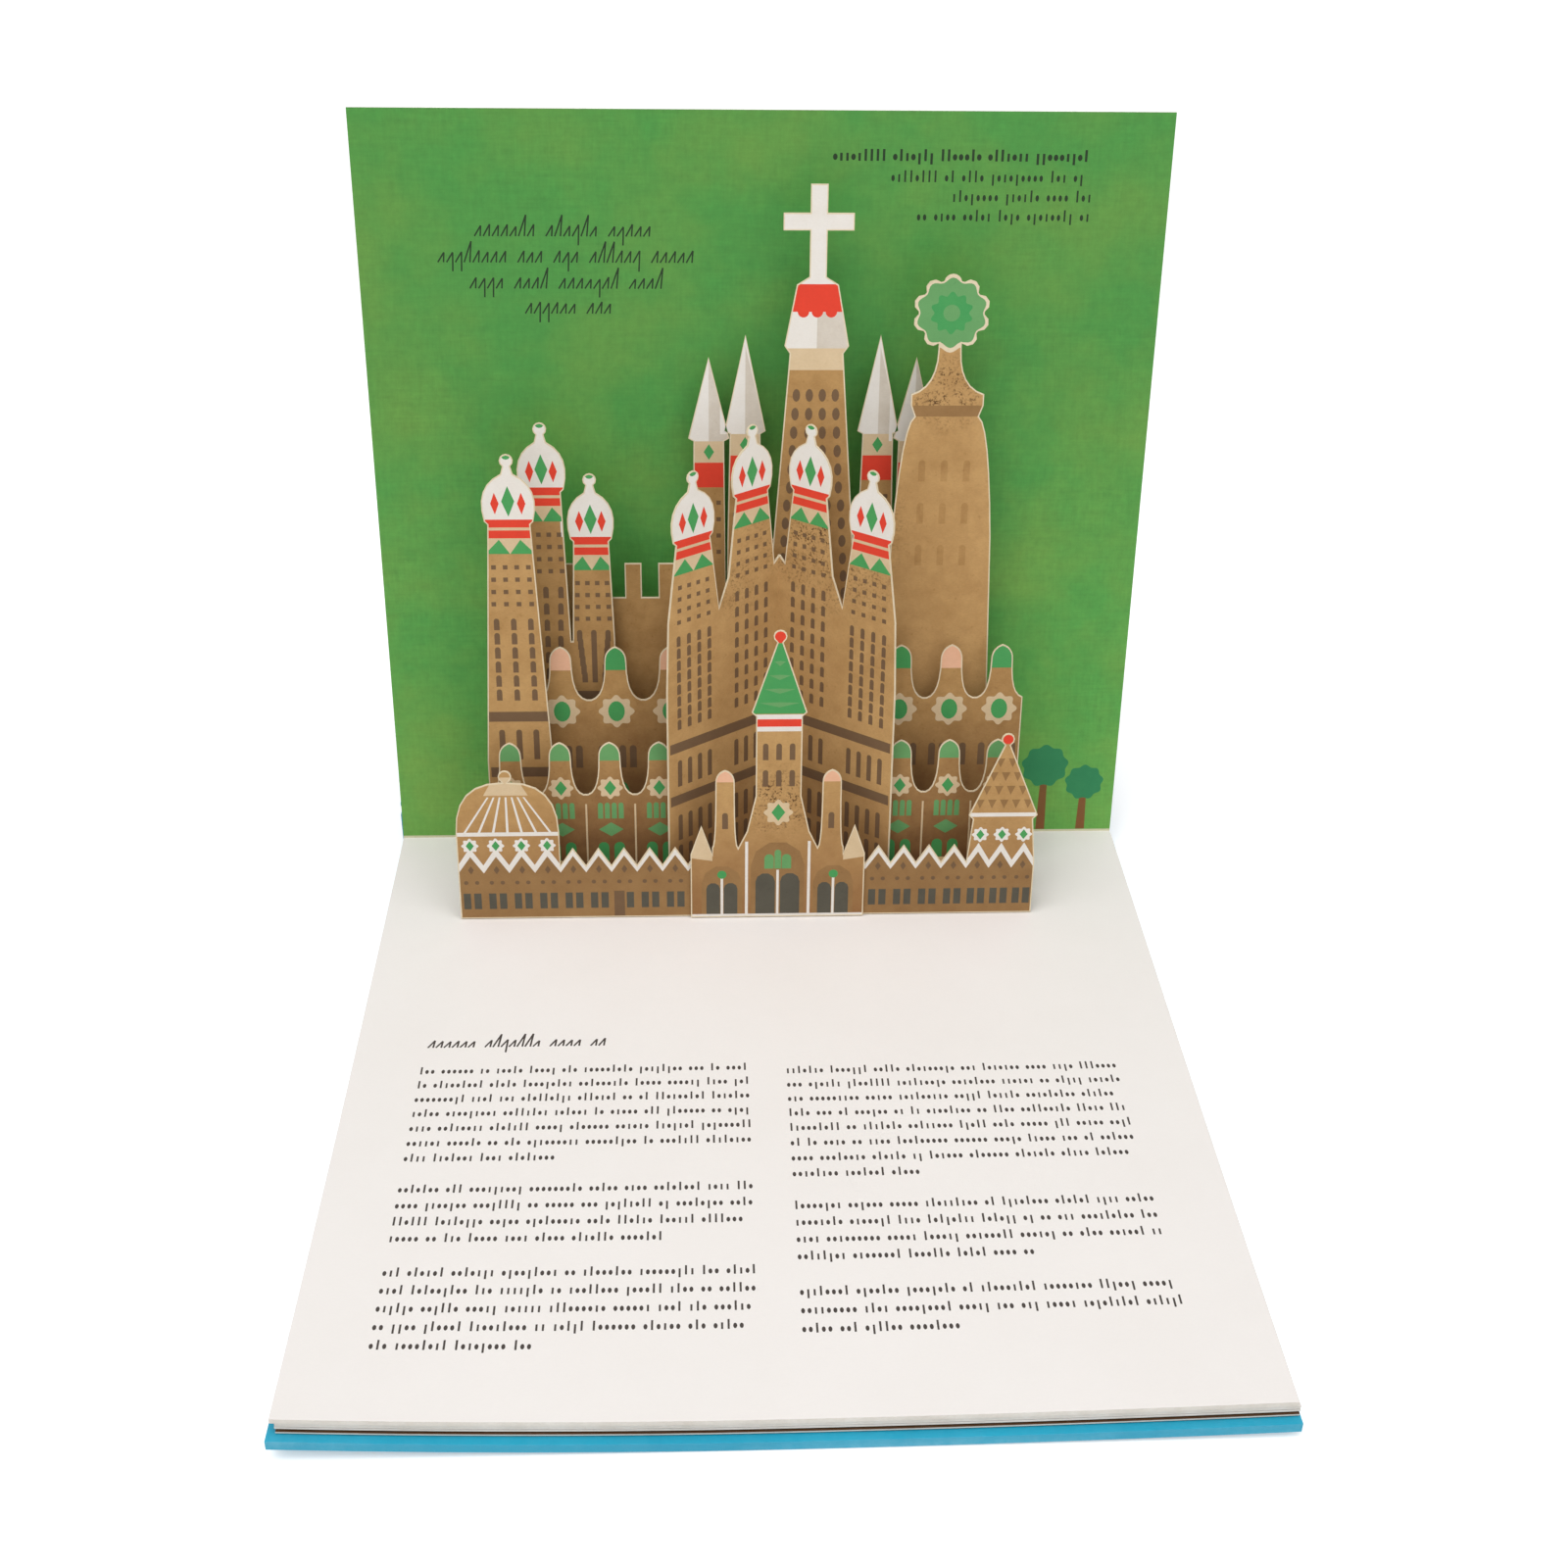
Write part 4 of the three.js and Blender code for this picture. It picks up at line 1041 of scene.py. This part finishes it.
def text_row(rng, left, right, z, size, ink_name, weight=0.13):
    """One row of dots and ticks. size is the height of a dot."""
    shapes = []
    for x in letter_places(rng, left, right, size * 0.78, (2, 3, 4, 5, 6, 7, 8, 9), 0.85):
        kind = rng.random()
        if kind < 0.58:
            shapes.append((ink_name, oval(x, z + size / 2, size * weight * 1.9, size * 0.42, 10)))
        else:
            high = size * (1.5 if kind < 0.78 else 1.0)
            low = -size * 0.42 if kind > 0.93 else 0.0
            shapes.append((ink_name, stroke((x, z + low), (x, z + high), size * weight)))
    return shapes


def stroke(start, end, half):
    """A straight pen stroke between two points."""
    u, v = end[0] - start[0], end[1] - start[1]
    reach = math.hypot(u, v)
    u, v = -v / reach * half, u / reach * half
    return [(start[0] - u, start[1] - v), (end[0] - u, end[1] - v),
            (end[0] + u, end[1] + v), (start[0] + u, start[1] + v)]


def script_row(rng, left, right, z, size, ink_name, half):
    """One row of running zigzag pen strokes."""
    shapes = []
    pitch = size * 0.78
    for x in letter_places(rng, left, right, pitch, (3, 4, 5, 6, 7, 8), 1.1):
        kind = rng.random()
        high = size * (1.9 if kind < 0.16 else rng.uniform(0.85, 1.1))
        low = -size * 0.8 if kind > 0.9 else 0.0
        crest = (x + pitch * 0.62 + high * 0.12, z + high)
        shapes.append((ink_name, stroke((x, z), crest, half)))
        shapes.append((ink_name, stroke(crest, (x + pitch * 0.66, z + low), half)))
    return shapes


def page_text():
    """The two columns on the lying page and the heading over them, as seen from the reader."""
    rng = random.Random(11)
    size, pitch = 1.8, 5.12
    shapes = script_row(rng, -87, -40, -93.5, 2.6, "text", 0.24)
    for left, right, top, paragraphs in ((-87.5, -4.5, -103.5, (7, 4, 5)), (4, 88, -105, (8, 4, 3))):
        y = top
        for lines in paragraphs:
            for line in range(lines):
                last = line == lines - 1
                end = left + (right - left) * (rng.uniform(0.35, 0.8) if last else 1)
                shapes += text_row(rng, left, end, y, size, "text")
                y -= pitch
            y -= pitch
    return shapes


def standing_text():
    rng = random.Random(5)
    shapes = []
    script = ((-74.7, -27.5, 177), (-84.5, -17, 170.2), (-76.6, -24.5, 163.4), (-62.5, -38.4, 156.8))
    for left, right, z in script:
        shapes += script_row(rng, left, right, z, 2.9, "green_text", 0.2)
    for left, z, weight in ((18, 196.5, 0.16), (33, 191.2, 0.12), (49, 186.2, 0.12), (40, 181.2, 0.12)):
        shapes += text_row(rng, left, 87, z, 2, "green_text", weight)
    return shapes


def tree_shapes():
    """Two round trees printed on the standing page, right of the town."""
    shapes = []
    for x, crown, radius in ((84, 20, 7), (96, 14.5, 5.8)):
        shapes.append(("trunk", [(x - 1.5, 0.8), (x + 1.2, 0.8), (x + 0.9, crown), (x - 1, crown)]))
        shapes.append(("tree", flower(x, crown + 2, radius, 9, 0.12)))
    return shapes


# Pages and covers


def lift(x, y):
    """How far the lying half is bent up at a place."""
    side = LIFT_LEFT if x < 0 else LIFT_RIGHT
    across = abs(x) / (PAGE_WIDTH / 2)
    forward = max(0.0, (-y - FLAT_DEPTH) / (PAGE_DEPTH - FLAT_DEPTH))
    return side * across**2 * forward**2


def pop_up_sheet():
    """The open spread: a white page that lies and a green page that stands, one folded sheet."""
    piece = Piece("pop_up_spread_sheet")
    half = PAGE_WIDTH / 2
    ring = rect(-half, -PAGE_DEPTH, half, STANDING_THICKNESS / 2)
    grid = [(-half + PAGE_WIDTH * i / 20, -PAGE_DEPTH * j / 18) for i in range(21) for j in range(19)]
    corners, faces = painted([], [("page", ring), *page_text()], grid)
    lying = lambda x, y, w: Vector((x, y, PAGE_TOP - w + lift(x, y))) * MM
    piece.sheet(corners, faces, lying, SHEET_THICKNESS, INKS["page"], INKS["edge"])
    place = placed(Vector((0, 0, PAGE_TOP)), ALONG, UP, BACK)
    ring = rect(-half, -SHEET_THICKNESS / 2, half, PAGE_DEPTH)
    shapes = [("sheet", ring), ("fold", rect(-half, -1, half, 0.7)), *tree_shapes(), *standing_text()]
    corners, faces = painted([], shapes)
    piece.sheet(corners, faces, into(place), STANDING_THICKNESS, INKS["page"], INKS["edge"])
    return piece.make(LYING, "page", "pop_up_sheet")


def lower_leaves():
    """The leaves under the open page, with a brown printed one showing in the slit."""
    piece = Piece("lower_leaf_stack")
    low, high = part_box("lower_leaves")
    left, right = low.x / MM, high.x / MM
    fore, back, bottom = low.y / MM, high.y / MM, low.z / MM
    rng = random.Random(3)
    heights = [(0.0, 0.4, 0, "brown_edge", "edge"), (0.4, 1.2, 2.2, "brown_edge", "brown_edge"),
               (1.2, 1.72, 0, "page", "edge"), (1.84, 2.78, 0, "page", "edge")]
    for start, end, recess, top, side in heights:
        nudge = rng.uniform(0, 0.35)
        piece.slab(
            (left + recess + nudge, fore + recess + rng.uniform(0, 0.3), bottom + start),
            (right - recess - rng.uniform(0, 0.3), back, bottom + end),
            (24, 20), lift, INKS[top], INKS["brown_edge"], INKS[side],
        )
    return piece.make(LYING, "leaves", "lower_leaves")


def soften(node, width, material):
    """Rounds the edges of a board that keeps its solid, and gives it its finish."""
    board = NODES[node]
    weld = board.modifiers.new("join_corners", "WELD")
    weld.merge_threshold = 0.00001
    bevel = board.modifiers.new("round_edges", "BEVEL")
    bevel.width = width * MM
    bevel.segments = 3
    bevel.limit_method = "ANGLE"
    bevel.angle_limit = math.radians(40)
    board.data.materials.clear()
    board.data.materials.append(material)


def covers():
    for node in ("back_cover", "spine_board", "front_cover"):
        soften(node, 0.6, COVER)
    leaves = NODES["earlier_leaves"]
    leaves.data.materials.clear()
    leaves.data.materials.append(INKS["page"])


# Studio

CAMERA_PLACE = (-17.57, -474.29, 328.69 + PAGE_TOP)
CAMERA_FALL = math.radians(30.025)
CAMERA_YAW = math.radians(2.898)
CAMERA_ROLL = math.radians(1.073)
PHOTO_SIDE = 1600
FOCAL_PIXELS = 1973.6
AXIS_ROW = 690
SENSOR = 36


def camera():
    """The photograph's view, from its own fit to the corners of the two pages."""
    look = Vector((
        math.sin(CAMERA_YAW) * math.cos(CAMERA_FALL),
        math.cos(CAMERA_YAW) * math.cos(CAMERA_FALL),
        -math.sin(CAMERA_FALL),
    ))
    right = Vector((math.cos(CAMERA_YAW), -math.sin(CAMERA_YAW), 0))
    up = right.cross(look)
    turned = math.cos(CAMERA_ROLL) * right + math.sin(CAMERA_ROLL) * up
    upright = math.cos(CAMERA_ROLL) * up - math.sin(CAMERA_ROLL) * right
    data = bpy.data.cameras.new("photo_camera")
    data.sensor_width = SENSOR
    data.lens = FOCAL_PIXELS / PHOTO_SIDE * SENSOR
    data.shift_y = (AXIS_ROW - PHOTO_SIDE / 2) / PHOTO_SIDE
    data.clip_start, data.clip_end = 0.01, 20
    view = bpy.data.objects.new("photo_camera", data)
    turn = Matrix((turned, upright, -look)).transposed().to_4x4()
    view.matrix_world = Matrix.Translation(Vector(CAMERA_PLACE) * MM) @ turn
    bpy.context.scene.collection.objects.link(view)
    bpy.context.scene.camera = view


def lamp(name, place, target, size, power):
    data = bpy.data.lights.new(name, "AREA")
    data.shape = "RECTANGLE"
    data.size, data.size_y = size
    data.energy = power
    light = bpy.data.objects.new(name, data)
    light.location = place
    light.rotation_euler = (Vector(place) - Vector(target)).to_track_quat("Z", "Y").to_euler()
    bpy.context.scene.collection.objects.link(light)


def seen_directly(tree):
    """1 for what the camera sees by itself, in a mirror or through glass, 0 for light on surfaces."""
    path = tree.node("ShaderNodeLightPath")
    total = tree.maths("ADD", path.outputs["Is Camera Ray"], path.outputs["Is Glossy Ray"])
    return tree.maths("ADD", total, path.outputs["Is Transmission Ray"], clamp=True)


def studio():
    scene = bpy.context.scene
    scene.view_settings.view_transform = "Standard"
    world = bpy.data.worlds.new("soft_room")
    scene.world = world
    world.use_nodes = True
    tree = Tree(world.node_tree)
    ground = world.node_tree.nodes["Background"]
    strength = tree.spread(seen_directly(tree), 0, 1, 0.44, 1.0)
    ground.inputs["Color"].default_value = (1, 1, 1, 1)
    tree.set(ground.inputs["Strength"], strength)
    mesh = bpy.data.meshes.new("floor")
    side = 4
    mesh.from_pydata([(x, z, 0) for x, z in rect(-side, -side, side, side)], [], [(0, 1, 2, 3)])
    floor = bpy.data.objects.new("floor", mesh)
    floor.location.z = -0.0002
    bpy.context.scene.collection.objects.link(floor)
    paper = bpy.data.materials.new("white_floor")
    tree, shade = shader(paper)
    shade.inputs["Base Color"].default_value = (0.93, 0.93, 0.93, 1)
    shade.inputs["Roughness"].default_value = 0.9
    shade.inputs["Specular IOR Level"].default_value = 0.1
    shade.inputs["Emission Color"].default_value = (1, 1, 1, 1)
    place = tree.node("ShaderNodeTexCoord").outputs["Object"]
    away = tree.node("ShaderNodeVectorMath", {0: place}, operation="LENGTH").outputs["Value"]
    glow = tree.spread(away, 0.5, 1.6, 0.34, 0.62)
    tree.set(shade.inputs["Emission Strength"], tree.maths("MULTIPLY", seen_directly(tree), glow))
    mesh.materials.append(paper)
    lamp("key_light", (-0.55, -0.55, 1.45), (0, -0.05, 0.06), (1.1, 1.1), 11.6)
    lamp("fill_light", (1.0, -0.9, 1.0), (0, -0.05, 0.08), (1.2, 1.2), 5.6)
    lamp("top_light", (0.15, -0.35, 1.5), (0, -0.05, 0), (1.0, 1.0), 5.0)


camera()
studio()
make_town()
pop_up_sheet()
lower_leaves()
covers()
